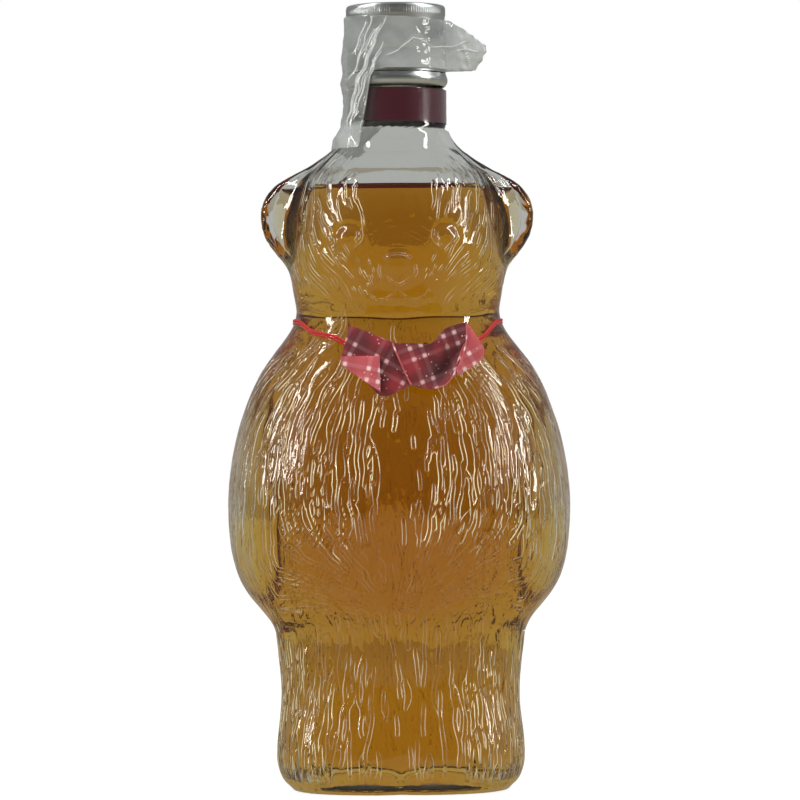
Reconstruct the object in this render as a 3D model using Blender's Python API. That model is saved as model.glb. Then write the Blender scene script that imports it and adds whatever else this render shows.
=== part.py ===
"""A glass whisky bottle shaped as a standing bear, with a roll-on screw cap, a torn clear shrink
capsule, a neck label and a ribbon bow on an elastic cord.

Metres, +Z up. The origin is on the ground under the neck's axis, and the bear faces -Y.
"""

import math

import bmesh
import bpy

# Gaps between pieces, and how finely round shapes are drawn.
TOUCH_GAP = 0.0003
RUNNING_GAP = 0.0004
BODY_COLUMNS = 64
NECK_COLUMNS = 32

# Heights of the glass body's parts, from the ground up.
FOOT_HEIGHT = 0.0120
PAW_HEIGHT = 0.0560
BODY_HEIGHT = 0.0940
HEAD_HEIGHT = 0.0585
LEG_WAIST_ABOVE_FOOT = 0.0180
BODY_WIDEST_ABOVE_PAWS = 0.0360
HEAD_WIDEST_ABOVE_CREASE = 0.0180
CROWN_BELOW_NECK = 0.0165
BELLY_SEAM_BELOW_PAWS = 0.0075
SEAT_SEAM_BELOW_PAWS = 0.0045
BELLY_ARCH = 0.0085

# Half widths of the glass body, and its depths to the front and to the back.
BASE_HALF_WIDTH = 0.0330
BASE_HALF_DEPTH = 0.0262
FOOT_HALF_WIDTH = 0.0395
FOOT_FRONT = 0.0318
FOOT_BACK = 0.0300
LEG_HALF_WIDTH = 0.0371
LEG_FRONT = 0.0278
LEG_BACK = 0.0282
BODY_HALF_WIDTH = 0.0544
BODY_FRONT = 0.0380
BODY_BACK = 0.0380
CREASE_HALF_WIDTH = 0.0314
CREASE_FRONT = 0.0256
CREASE_BACK = 0.0262
HEAD_HALF_WIDTH = 0.0341
HEAD_FRONT = 0.0312
HEAD_BACK = 0.0315

# Ears, muzzle, arms and feet.
EAR_INSIDE_HEAD = 0.0041
EAR_SET_BACK = 0.0010
EAR_ABOVE_HEAD_WIDEST = 0.0140
EAR_REACH = 0.0137
EAR_LEAN = 0.0100
EAR_HALF_HEIGHT = 0.0166
EAR_HALF_THICKNESS = 0.0075
EAR_HOLLOW = 0.0040
EAR_FILLET = 0.0026
MUZZLE_BELOW_HEAD_WIDEST = 0.0052
MUZZLE_REACH = 0.0046
MUZZLE_HALF_WIDTH = 0.0150
MUZZLE_HALF_HEIGHT = 0.0130
ARM_WIDTH = 0.0162
ARM_CREASE_DEPTH = 0.0034
ARM_CREASE_HALF_WIDTH = 0.0046
FEET_CLEFT_DEPTH = 0.0022
FEET_CLEFT_HALF_WIDTH = 0.0060

# Hollow of the glass, its base, and the whisky in it.
WALL = 0.0042
EAR_WALL = 0.0040
BASE_THICKNESS = 0.0076
INNER_HEEL_ROUND = 0.0090
BEARING_WIDTH = 0.0060
PUNT_HEIGHT = 0.0022
FILL_BELOW_CROWN = 0.0020
WHISKY_GAP = 0.0006

# Neck and mouth of the glass.
NECK_RADIUS = 0.0156
NECK_LENGTH = 0.0131
RECESS_RADIUS = 0.0140
RECESS_HEIGHT = 0.0022
BEAD_RADIUS = 0.0149
BEAD_HEIGHT = 0.0024
FINISH_RADIUS = 0.0134
FINISH_LENGTH = 0.0191
BORE_RADIUS = 0.0098
EDGE_ROUND = 0.0006
RECESS_EDGE = 0.0002

# Screw thread: one start, right handed, shared by the glass and the cap.
THREAD_PITCH = 0.0032
THREAD_TURNS = 1.5
THREAD_BELOW_MOUTH = 0.0125
THREAD_HEIGHT = 0.00115
THREAD_HALF_WIDTH = 0.0008
THREAD_ROOT = 0.0008
ROLLED_TURNS = 1.25
ROLLED_HALF_WIDTH = 0.0004
ROLLED_REACH = 0.0013

# Cap, liner and the band below the score line.
CAP_SIDE_CLEARANCE = 0.00075
CAP_WALL = 0.00045
CAP_TOP_WALL = 0.0007
CAP_EDGE_ROUND = 0.0009
CAP_KNURL_HEIGHT = 0.0034
CAP_KNURL_STEP = 0.0002
LINER_THICKNESS = 0.0013
LINER_CLEARANCE = 0.0006
SCORE_GAP = 0.0004
BAND_BULGE = 0.0006
BAND_WALL = 0.00045

# Neck label.
LABEL_THICKNESS = 0.0002
LABEL_ABOVE_NECK_BASE = 0.0018
LABEL_TOP_GAP = 0.0006
LABEL_OPEN_ANGLE = math.radians(60)
LABEL_OPEN_AT = math.radians(-178)
LABEL_COLUMNS = 30

# Torn shrink capsule.
FILM_THICKNESS = 0.00025
FILM_TOP_BELOW_CAP = 0.0034
FILM_HEM_BELOW_NECK = 0.0063
FILM_SLANT = 0.0016
FILM_STEP = 0.0014
FILM_TORN_ABOVE_SCORE = 0.0006
FILM_FLAP_REACH = 0.0122
FILM_FLAP_ANGLE = math.radians(-4)
FILM_FLAP_SPREAD = math.radians(17)
FILM_COLUMNS = 36
FILM_ROWS = 12

# Cord and bow.
CORD_RADIUS = 0.0008
CORD_POINTS = 56
BOW_SECTION_POINTS = 10
CORD_SIDE_BELOW_CREASE = 0.0022
CORD_BACK_BELOW_CREASE = 0.0010
KNOT_BELOW_CREASE = 0.0125
KNOT_X = 0.0050
KNOT_HALF_LENGTH = 0.0062
KNOT_WALL = 0.0010
KNOT_HALF_DEPTH = 0.0029
RIBBON_HALF_THICKNESS = 0.0011
BOW_HALF_WIDTH = 0.0223
BOW_RISE = 0.0092
BOW_DROP = 0.0132
BOW_LEAN = 0.28

# Heights and radii that follow from the sizes above.
LEG_Z = FOOT_HEIGHT + LEG_WAIST_ABOVE_FOOT
BODY_Z = PAW_HEIGHT + BODY_WIDEST_ABOVE_PAWS
CREASE_Z = PAW_HEIGHT + BODY_HEIGHT
HEAD_Z = CREASE_Z + HEAD_WIDEST_ABOVE_CREASE
NECK_BASE_Z = CREASE_Z + HEAD_HEIGHT
CROWN_Z = NECK_BASE_Z - CROWN_BELOW_NECK
BELLY_SEAM_Z = PAW_HEIGHT - BELLY_SEAM_BELOW_PAWS
SEAT_SEAM_Z = PAW_HEIGHT - SEAT_SEAM_BELOW_PAWS
EAR_X = HEAD_HALF_WIDTH - EAR_INSIDE_HEAD
EAR_Z = HEAD_Z + EAR_ABOVE_HEAD_WIDEST
MUZZLE_Z = HEAD_Z - MUZZLE_BELOW_HEAD_WIDEST
ARM_CREASE_X = BODY_HALF_WIDTH - ARM_WIDTH
FILL_Z = CROWN_Z - FILL_BELOW_CROWN
NECK_TOP_Z = NECK_BASE_Z + NECK_LENGTH
BEAD_BOTTOM_Z = NECK_TOP_Z + RECESS_HEIGHT
BEAD_TOP_Z = BEAD_BOTTOM_Z + BEAD_HEIGHT
MOUTH_Z = BEAD_TOP_Z + FINISH_LENGTH
LINER_BOTTOM_Z = MOUTH_Z + TOUCH_GAP
LINER_TOP_Z = LINER_BOTTOM_Z + LINER_THICKNESS
CAP_CEILING_Z = LINER_TOP_Z + TOUCH_GAP
CAP_TOP_Z = CAP_CEILING_Z + CAP_TOP_WALL
SKIRT_BOTTOM_Z = BEAD_TOP_Z + SCORE_GAP
THREAD_START_Z = MOUTH_Z - THREAD_BELOW_MOUTH
THREAD_END_Z = THREAD_START_Z + THREAD_TURNS * THREAD_PITCH
THREAD_CREST = FINISH_RADIUS + THREAD_HEIGHT
CAP_INNER_RADIUS = THREAD_CREST + CAP_SIDE_CLEARANCE
CAP_RADIUS = CAP_INNER_RADIUS + CAP_WALL
CAP_KNURLED_INNER = CAP_INNER_RADIUS - CAP_KNURL_STEP
BAND_INNER_RADIUS = BEAD_RADIUS + RUNNING_GAP
BAND_PLAIN_RADIUS = BAND_INNER_RADIUS + BAND_WALL
BAND_RADIUS = BAND_PLAIN_RADIUS + BAND_BULGE
LABEL_INNER_RADIUS = NECK_RADIUS + TOUCH_GAP
LABEL_RADIUS = LABEL_INNER_RADIUS + LABEL_THICKNESS
LABEL_BOTTOM_Z = NECK_BASE_Z + LABEL_ABOVE_NECK_BASE
FILM_OVER_CAP = CAP_RADIUS + RUNNING_GAP
FILM_OVER_BAND = BAND_RADIUS + RUNNING_GAP
FILM_OVER_LABEL = LABEL_RADIUS + RUNNING_GAP
FILM_HEM_Z = NECK_BASE_Z - FILM_HEM_BELOW_NECK
FILM_TOP_Z = CAP_TOP_Z - FILM_TOP_BELOW_CAP
CORD_SIDE_Z = CREASE_Z - CORD_SIDE_BELOW_CREASE
CORD_BACK_Z = CREASE_Z - CORD_BACK_BELOW_CREASE
KNOT_Z = CREASE_Z - KNOT_BELOW_CREASE
KNOT_BORE = CORD_RADIUS + TOUCH_GAP
KNOT_RADIUS = KNOT_BORE + KNOT_WALL


def clear_scene():
    for obj in list(bpy.data.objects):
        bpy.data.objects.remove(obj, do_unlink=True)


def material(name, colour, roughness, metallic=0.0, transmission=0.0, alpha=1.0):
    made = bpy.data.materials.new(name)
    made.use_nodes = True
    shader = made.node_tree.nodes["Principled BSDF"]
    shader.inputs["Base Color"].default_value = (*colour, 1.0)
    shader.inputs["Roughness"].default_value = roughness
    shader.inputs["Metallic"].default_value = metallic
    shader.inputs["Transmission Weight"].default_value = transmission
    shader.inputs["Alpha"].default_value = alpha
    made.diffuse_color = (*colour, alpha)
    return made


def object_from(name, bm, finish, sharp_angle=math.radians(40)):
    """An object made of a bmesh, shaded smooth apart from its sharp edges."""
    bmesh.ops.recalc_face_normals(bm, faces=bm.faces)
    mesh = bpy.data.meshes.new(name)
    bm.to_mesh(mesh)
    bm.free()
    mesh.shade_smooth()
    mesh.set_sharp_from_angle(angle=sharp_angle)
    mesh.materials.append(finish)
    obj = bpy.data.objects.new(name, mesh)
    bpy.context.scene.collection.objects.link(obj)
    return obj


def boolean(obj, cutter, operation):
    """Joins or cuts with a helper object, which the build leaves out."""
    cutter.hide_render = True
    cutter.display_type = "WIRE"
    modifier = obj.modifiers.new(cutter.name, "BOOLEAN")
    modifier.operation = operation
    modifier.solver = "EXACT"
    modifier.object = cutter


def joint_empty(name, place):
    """An empty on a joint's axis, for the piece that moves with it."""
    empty = bpy.data.objects.new(name, None)
    empty.location = place
    bpy.context.scene.collection.objects.link(empty)
    return empty


def carry(obj, empty):
    obj.parent = empty
    obj.matrix_parent_inverse = empty.matrix_world.inverted()
    obj.location = obj.location - empty.location


def smooth_step(low, high, value):
    share = min(1.0, max(0.0, (value - low) / (high - low)))
    return share * share * (3.0 - 2.0 * share)


def through(points, at):
    """A smooth curve through (position, value) points, without overshoot."""
    if at <= points[0][0]:
        return points[0][1]
    if at >= points[-1][0]:
        return points[-1][1]
    k = max(i for i in range(len(points) - 1) if points[i][0] <= at)
    slopes = []
    for i in (k, k + 1):
        if i in (0, len(points) - 1):
            slopes.append(0.0)
            continue
        before = (points[i][1] - points[i - 1][1]) / (points[i][0] - points[i - 1][0])
        after = (points[i + 1][1] - points[i][1]) / (points[i + 1][0] - points[i][0])
        slopes.append(2.0 * before * after / (before + after) if before * after > 0.0 else 0.0)
    span = points[k + 1][0] - points[k][0]
    t = (at - points[k][0]) / span
    return (
        points[k][1] * (1 + 2 * t) * (1 - t) ** 2
        + slopes[0] * span * t * (1 - t) ** 2
        + points[k + 1][1] * t * t * (3 - 2 * t)
        + slopes[1] * span * t * t * (t - 1)
    )


def dome(u):
    """1 in the middle, falling smoothly to 0 where u reaches 1."""
    return (1.0 - min(1.0, abs(u)) ** 2) ** 2


def soft_max(a, b, fillet):
    """The larger of two radii, with the crease between them filled in."""
    share = min(1.0, max(0.0, 0.5 + 0.5 * (a - b) / fillet))
    return b + (a - b) * share + fillet * share * (1.0 - share)


def between(low, high, share):
    return low + (high - low) * share


# The body's outline from the front, low to high.
HALF_WIDTHS = [
    (0.0, BASE_HALF_WIDTH),
    (0.2 * FOOT_HEIGHT, between(BASE_HALF_WIDTH, FOOT_HALF_WIDTH, 0.62)),
    (0.5 * FOOT_HEIGHT, between(BASE_HALF_WIDTH, FOOT_HALF_WIDTH, 0.87)),
    (FOOT_HEIGHT, FOOT_HALF_WIDTH),
    (LEG_Z, LEG_HALF_WIDTH),
    (between(LEG_Z, PAW_HEIGHT, 0.65), between(LEG_HALF_WIDTH, BODY_HALF_WIDTH, 0.12)),
    (between(LEG_Z, PAW_HEIGHT, 0.89), between(LEG_HALF_WIDTH, BODY_HALF_WIDTH, 0.18)),
    (between(PAW_HEIGHT, BODY_Z, 0.01), between(LEG_HALF_WIDTH, BODY_HALF_WIDTH, 0.35)),
    (between(PAW_HEIGHT, BODY_Z, 0.10), between(LEG_HALF_WIDTH, BODY_HALF_WIDTH, 0.545)),
    (between(PAW_HEIGHT, BODY_Z, 0.275), between(LEG_HALF_WIDTH, BODY_HALF_WIDTH, 0.79)),
    (between(PAW_HEIGHT, BODY_Z, 0.63), between(LEG_HALF_WIDTH, BODY_HALF_WIDTH, 0.955)),
    (BODY_Z, BODY_HALF_WIDTH),
    (between(BODY_Z, CREASE_Z, 0.207), between(CREASE_HALF_WIDTH, BODY_HALF_WIDTH, 0.939)),
    (between(BODY_Z, CREASE_Z, 0.42), between(CREASE_HALF_WIDTH, BODY_HALF_WIDTH, 0.813)),
    (between(BODY_Z, CREASE_Z, 0.63), between(CREASE_HALF_WIDTH, BODY_HALF_WIDTH, 0.609)),
    (between(BODY_Z, CREASE_Z, 0.74), between(CREASE_HALF_WIDTH, BODY_HALF_WIDTH, 0.457)),
    (between(BODY_Z, CREASE_Z, 0.847), between(CREASE_HALF_WIDTH, BODY_HALF_WIDTH, 0.239)),
    (between(BODY_Z, CREASE_Z, 0.90), between(CREASE_HALF_WIDTH, BODY_HALF_WIDTH, 0.122)),
    (between(BODY_Z, CREASE_Z, 0.95), between(CREASE_HALF_WIDTH, BODY_HALF_WIDTH, 0.034)),
    (CREASE_Z, CREASE_HALF_WIDTH),
    (between(CREASE_Z, HEAD_Z, 0.27), between(CREASE_HALF_WIDTH, HEAD_HALF_WIDTH, 0.50)),
    (HEAD_Z, HEAD_HALF_WIDTH),
    (between(HEAD_Z, CROWN_Z, 0.5), between(NECK_RADIUS, HEAD_HALF_WIDTH, 0.93)),
    (CROWN_Z, between(NECK_RADIUS, HEAD_HALF_WIDTH, 0.76)),
    (between(CROWN_Z, NECK_BASE_Z, 0.38), between(NECK_RADIUS, HEAD_HALF_WIDTH, 0.50)),
    (between(CROWN_Z, NECK_BASE_Z, 0.58), between(NECK_RADIUS, HEAD_HALF_WIDTH, 0.22)),
    (between(CROWN_Z, NECK_BASE_Z, 0.80), between(NECK_RADIUS, HEAD_HALF_WIDTH, 0.07)),
    (NECK_BASE_Z, NECK_RADIUS),
]


def depths(foot, leg, body, crease, head, seam_z):
    """The outline to the front or the back, low to high. seam_z is where belly or seat meets the legs."""
    return [
        (0.0, BASE_HALF_DEPTH),
        (0.2 * FOOT_HEIGHT, between(BASE_HALF_DEPTH, foot, 0.62)),
        (0.5 * FOOT_HEIGHT, between(BASE_HALF_DEPTH, foot, 0.88)),
        (FOOT_HEIGHT, foot),
        (LEG_Z, leg),
        (between(LEG_Z, seam_z, 0.91), between(leg, body, 0.03)),
        (seam_z, between(leg, body, 0.20)),
        (between(seam_z, BODY_Z, 0.045), between(leg, body, 0.50)),
        (between(seam_z, BODY_Z, 0.18), between(leg, body, 0.74)),
        (between(seam_z, BODY_Z, 0.46), between(leg, body, 0.93)),
        (between(seam_z, BODY_Z, 0.86), body),
        (between(BODY_Z, CREASE_Z, 0.33), between(crease, body, 0.90)),
        (between(BODY_Z, CREASE_Z, 0.54), between(crease, body, 0.72)),
        (between(BODY_Z, CREASE_Z, 0.74), between(crease, body, 0.435)),
        (between(BODY_Z, CREASE_Z, 0.87), between(crease, body, 0.19)),
        (CREASE_Z, crease),
        (between(CREASE_Z, HEAD_Z, 0.4), between(crease, head, 0.58)),
        (HEAD_Z, head),
        (between(HEAD_Z, CROWN_Z, 0.5), between(NECK_RADIUS, head, 0.93)),
        (CROWN_Z, between(NECK_RADIUS, head, 0.66)),
        (between(CROWN_Z, NECK_BASE_Z, 0.38), between(NECK_RADIUS, head, 0.34)),
        (between(CROWN_Z, NECK_BASE_Z, 0.70), between(NECK_RADIUS, head, 0.09)),
        (NECK_BASE_Z, NECK_RADIUS),
    ]


FRONT_DEPTHS = depths(FOOT_FRONT, LEG_FRONT, BODY_FRONT, CREASE_FRONT, HEAD_FRONT, BELLY_SEAM_Z)
BACK_DEPTHS = depths(FOOT_BACK, LEG_BACK, BODY_BACK, CREASE_BACK, HEAD_BACK, SEAT_SEAM_Z)
# How boxy the cross-section is: 2 is an ellipse.
BOXINESS = [(0.0, 2.7), (LEG_Z, 2.7), (BODY_Z, 2.25), (CREASE_Z, 2.1), (CROWN_Z, 2.1), (NECK_BASE_Z, 2.0)]


def trunk_radius(angle, z):
    """Distance from the axis to the plain body, without ears, muzzle or creases."""
    depth = through(FRONT_DEPTHS if math.sin(angle) < 0.0 else BACK_DEPTHS, z)
    power = through(BOXINESS, z)
    across = abs(math.cos(angle)) / through(HALF_WIDTHS, z)
    along = abs(math.sin(angle)) / depth
    return (across**power + along**power) ** (-1.0 / power)


def ear_radius(angle, z, shrink=0.0):
    """Distance from the axis to the far side of an ear, or 0 where the direction misses it."""
    rise = (z - EAR_Z) / (EAR_HALF_HEIGHT - shrink)
    if abs(rise) >= 1.0:
        return 0.0
    size = math.sqrt(1.0 - rise * rise)
    inward = EAR_LEAN * smooth_step(0.0, 0.6, rise)
    half_x = (EAR_REACH + inward - shrink) * size
    half_y = (EAR_HALF_THICKNESS - shrink) * size
    ray = (abs(math.cos(angle)) / half_x, math.sin(angle) / half_y)
    centre = ((EAR_X - inward) / half_x, EAR_SET_BACK / half_y)
    a = ray[0] ** 2 + ray[1] ** 2
    b = ray[0] * centre[0] + ray[1] * centre[1]
    c = centre[0] ** 2 + centre[1] ** 2 - 1.0
    inside = b * b - a * c
    return (b + math.sqrt(inside)) / a if inside > 0.0 else 0.0


def glass_radius(angle, z):
    """Distance from the axis to the glass's outer face, before the belly's hem is arched."""
    radius = trunk_radius(angle, z)
    x = radius * math.cos(angle)
    if math.sin(angle) < 0.0:
        away = math.hypot(x / MUZZLE_HALF_WIDTH, (z - MUZZLE_Z) / MUZZLE_HALF_HEIGHT)
        radius += MUZZLE_REACH * dome(away)
        cleft = dome(x / FEET_CLEFT_HALF_WIDTH) * smooth_step(FOOT_HEIGHT, 0.0, z)
        radius -= FEET_CLEFT_DEPTH * cleft
    from_paw = smooth_step(BELLY_SEAM_Z, between(PAW_HEIGHT, BODY_Z, 0.14), z)
    to_shoulder = smooth_step(between(BODY_Z, CREASE_Z, 0.60), between(BODY_Z, CREASE_Z, 0.36), z)
    off_crease = (abs(x) - ARM_CREASE_X) / ARM_CREASE_HALF_WIDTH
    radius -= ARM_CREASE_DEPTH * dome(off_crease) * from_paw * to_shoulder
    ear = ear_radius(angle, z)
    return soft_max(radius, ear, EAR_FILLET) if ear else radius


def arched(angle, z):
    """The height that a point of the body is lifted to, so that the belly's hem hangs in an arc."""
    if math.sin(angle) > 0.0:
        return z
    across = abs(trunk_radius(angle, BODY_Z) * math.cos(angle))
    on_belly = min(1.0, across / ARM_CREASE_X) ** 2
    on_arm = smooth_step(ARM_CREASE_X, BODY_HALF_WIDTH, across)
    return z + BELLY_ARCH * on_belly * (1.0 - on_arm) * dome((z - BELLY_SEAM_Z) / (0.5 * PAW_HEIGHT))


def glass_point(angle, z):
    """A point of the glass's outer face, with the ears' hollow fronts."""
    radius = glass_radius(angle, z)
    x = radius * math.cos(angle)
    y = radius * math.sin(angle)
    if y < EAR_SET_BACK and abs(x) > EAR_X:
        hollow_x = EAR_X + 0.54 * EAR_REACH
        away = math.hypot((abs(x) - hollow_x) / (0.42 * EAR_REACH), (z - EAR_Z) / (0.70 * EAR_HALF_HEIGHT))
        y += min(EAR_HOLLOW * dome(away), EAR_SET_BACK - y)
    return (x, y, arched(angle, z))


def hollow_point(angle, z, inset=0.0, lift=0.0):
    """A point of the glass's inner face, or of the whisky that lies inside it by the inset."""
    reach = hollow_radius(angle, z) - inset
    return (reach * math.cos(angle), reach * math.sin(angle), arched(angle, z) + lift)


def hollow_radius(angle, z):
    """Distance from the axis to the glass's inner face."""
    if z >= NECK_BASE_Z:
        return through(
            [(NECK_BASE_Z, NECK_RADIUS - WALL), (NECK_TOP_Z, BORE_RADIUS), (MOUTH_Z, BORE_RADIUS)], z
        )
    radius = soft_max(trunk_radius(angle, z) - WALL, ear_radius(angle, z, shrink=EAR_WALL), EAR_WALL)
    above_base = min(1.0, max(0.0, (z - BASE_THICKNESS) / INNER_HEEL_ROUND))
    return radius - INNER_HEEL_ROUND * (1.0 - math.sqrt(1.0 - (1.0 - above_base) ** 2))


def body_angle(step, columns, z):
    """The angle of a column. Columns are closer together at the sides, for the ears."""
    even = 2.0 * math.pi * step / columns
    return even - 0.22 * smooth_step(NECK_BASE_Z, CROWN_Z, z) * math.sin(2.0 * even)


def spaced(low, high, count):
    """Heights from low to high, without the high one."""
    return [low + (high - low) * k / count for k in range(count)]


def ring(bm, places):
    return [bm.verts.new(place) for place in places]


def round_ring(bm, radius, z, columns=NECK_COLUMNS, turn=0.0):
    steps = [2.0 * math.pi * k / columns + turn for k in range(columns)]
    return ring(bm, [(radius * math.cos(a), radius * math.sin(a), z) for a in steps])


def join_rings(bm, first, second, split=False):
    """Faces between two rings, of which one may have twice as many points as the other.

    With split, each is two triangles cut from first to second, so that two nested walls fold alike.
    """
    if len(first) < len(second):
        first, second = second, first
    count = len(second)
    for k in range(count):
        after = (k + 1) % count
        if len(first) == count and split:
            bm.faces.new((first[k], first[after], second[after]))
            bm.faces.new((first[k], second[after], second[k]))
        elif len(first) == count:
            bm.faces.new((first[k], first[after], second[after], second[k]))
        else:
            bm.faces.new((first[2 * k], first[2 * k + 1], second[k]))
            bm.faces.new((first[2 * k + 1], second[after], second[k]))
            bm.faces.new((first[2 * k + 1], first[(2 * k + 2) % len(first)], second[after]))


def close_ring(bm, points, centre):
    tip = bm.verts.new(centre)
    for k, point in enumerate(points):
        bm.faces.new((point, points[(k + 1) % len(points)], tip))


def turned(name, profile, finish, columns=NECK_COLUMNS):
    """A closed ring from an outline of (radius, height) points. A radius of 0 closes it on the axis."""
    bm = bmesh.new()
    rings = [round_ring(bm, radius, z, columns) for radius, z in profile if radius > 0.0]
    for first, second in zip(rings, rings[1:]):
        join_rings(bm, first, second)
    if profile[0][0] > 0.0:
        join_rings(bm, rings[-1], rings[0])
    else:
        close_ring(bm, rings[0], (0.0, 0.0, profile[0][1]))
        close_ring(bm, rings[-1], (0.0, 0.0, profile[-1][1]))
    return object_from(name, bm, finish)


def helical_ridge(name, start_z, turns, inner, outer, foot_half, crest_half):
    """A ridge along the thread's helix. It fades out over its first and last eighth of a turn."""
    bm = bmesh.new()
    segments = round(turns * NECK_COLUMNS)
    sections = []
    for k in range(segments + 1):
        turn = turns * k / segments
        fade = min(1.0, 8.0 * turn + 0.15, 8.0 * (turns - turn) + 0.15)
        angle = 2.0 * math.pi * turn
        z = start_z + THREAD_PITCH * turn
        crest = inner + (outer - inner) * fade
        outline = ((inner, -foot_half), (crest, -crest_half), (crest, crest_half), (inner, foot_half))
        sections.append(
            ring(bm, [(r * math.cos(angle), r * math.sin(angle), z + dz) for r, dz in outline])
        )
    for first, second in zip(sections, sections[1:]):
        join_rings(bm, first, second)
    bm.faces.new(sections[0])
    bm.faces.new(sections[-1])
    return object_from(name, bm, None)


def glass_heights():
    """Heights of the glass's outer rings, from the heel to the foot of the neck."""
    return (
        [0.08 * FOOT_HEIGHT, 0.22 * FOOT_HEIGHT, 0.5 * FOOT_HEIGHT]
        + spaced(FOOT_HEIGHT, between(LEG_Z, BELLY_SEAM_Z, 0.80), 4)
        + spaced(between(LEG_Z, BELLY_SEAM_Z, 0.80), between(BELLY_SEAM_Z, BODY_Z, 0.10), 6)
        + spaced(between(BELLY_SEAM_Z, BODY_Z, 0.10), BODY_Z, 6)
        + spaced(BODY_Z, between(BODY_Z, CREASE_Z, 0.80), 6)
        + spaced(between(BODY_Z, CREASE_Z, 0.80), between(CREASE_Z, HEAD_Z, 0.20), 5)
        + spaced(between(CREASE_Z, HEAD_Z, 0.20), EAR_Z + EAR_HALF_HEIGHT, 13)
        + spaced(EAR_Z + EAR_HALF_HEIGHT, NECK_BASE_Z, 4)
    )


def hollow_heights():
    """Heights of the inner rings from the base to the foot of the neck."""
    inner_heel = BASE_THICKNESS + INNER_HEEL_ROUND
    return (
        [BASE_THICKNESS, BASE_THICKNESS + 0.06 * INNER_HEEL_ROUND, BASE_THICKNESS + 0.4 * INNER_HEEL_ROUND]
        + spaced(inner_heel, between(LEG_Z, BELLY_SEAM_Z, 0.88), 3)
        + spaced(between(LEG_Z, BELLY_SEAM_Z, 0.88), between(BELLY_SEAM_Z, BODY_Z, 0.40), 4)
        + spaced(between(BELLY_SEAM_Z, BODY_Z, 0.40), between(BODY_Z, CREASE_Z, 0.78), 4)
        + spaced(between(BODY_Z, CREASE_Z, 0.78), between(CREASE_Z, HEAD_Z, 0.28), 4)
        + spaced(between(CREASE_Z, HEAD_Z, 0.28), FILL_Z, 5)
        + spaced(FILL_Z, NECK_BASE_Z, 4)
    )


def glass_bottle():
    finish = material("clear_flint_glass", (0.86, 0.89, 0.87), 0.05, transmission=0.9, alpha=0.35)
    bm = bmesh.new()

    def outline(scale, z):
        angles = [body_angle(k, BODY_COLUMNS, 0.0) for k in range(BODY_COLUMNS)]
        reach = [glass_radius(a, 0.0) * scale for a in angles]
        return ring(bm, [(r * math.cos(a), r * math.sin(a), z) for r, a in zip(reach, angles)])

    bearing_inner = 1.0 - BEARING_WIDTH / BASE_HALF_DEPTH
    inner_base = outline(bearing_inner, 0.0)
    outer_base = outline(1.0, 0.0)
    join_rings(bm, inner_base, outer_base)
    rise = outline(0.85 * bearing_inner, 0.6 * PUNT_HEIGHT)
    join_rings(bm, rise, inner_base)
    middle = round_ring(bm, 0.45 * BASE_HALF_DEPTH, 0.95 * PUNT_HEIGHT)
    join_rings(bm, middle, rise)
    close_ring(bm, middle, (0.0, 0.0, PUNT_HEIGHT))

    before = outer_base
    for z in glass_heights():
        angles = [body_angle(k, BODY_COLUMNS, z) for k in range(BODY_COLUMNS)]
        after = ring(bm, [glass_point(a, z) for a in angles])
        join_rings(bm, before, after)
        before = after

    neck_outline = [
        (NECK_RADIUS, NECK_BASE_Z),
        (NECK_RADIUS, NECK_TOP_Z - EDGE_ROUND),
        (NECK_RADIUS - EDGE_ROUND, NECK_TOP_Z),
        (RECESS_RADIUS, NECK_TOP_Z + RECESS_EDGE),
        (RECESS_RADIUS, BEAD_BOTTOM_Z - RECESS_EDGE),
        (BEAD_RADIUS - EDGE_ROUND, BEAD_BOTTOM_Z),
        (BEAD_RADIUS, BEAD_BOTTOM_Z + EDGE_ROUND),
        (BEAD_RADIUS, BEAD_TOP_Z - EDGE_ROUND),
        (BEAD_RADIUS - EDGE_ROUND, BEAD_TOP_Z),
        (FINISH_RADIUS, BEAD_TOP_Z + RECESS_EDGE),
        (FINISH_RADIUS, MOUTH_Z - EDGE_ROUND),
        (FINISH_RADIUS - EDGE_ROUND, MOUTH_Z),
        (BORE_RADIUS + EDGE_ROUND, MOUTH_Z),
        (BORE_RADIUS, MOUTH_Z - EDGE_ROUND),
        (BORE_RADIUS, NECK_TOP_Z),
        (hollow_radius(0.0, NECK_BASE_Z + 0.5 * NECK_LENGTH), NECK_BASE_Z + 0.5 * NECK_LENGTH),
    ]
    for radius, z in neck_outline:
        after = round_ring(bm, radius, z)
        join_rings(bm, before, after)
        before = after
    heights = [NECK_BASE_Z] + hollow_heights()[::-1]
    for z in heights:
        angles = [body_angle(k, NECK_COLUMNS, z) for k in range(NECK_COLUMNS)]
        after = ring(bm, [hollow_point(a, z) for a in angles])
        join_rings(bm, before, after, split=True)
        before = after
    close_ring(bm, before, (0.0, 0.0, BASE_THICKNESS))
    glass = object_from("glass_bottle", bm, finish)
    ridge = helical_ridge(
        "glass_thread_tool",
        THREAD_START_Z,
        THREAD_TURNS,
        FINISH_RADIUS - THREAD_ROOT,
        THREAD_CREST,
        THREAD_HALF_WIDTH,
        0.5 * THREAD_HALF_WIDTH,
    )
    boolean(glass, ridge, "UNION")
    return glass


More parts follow.
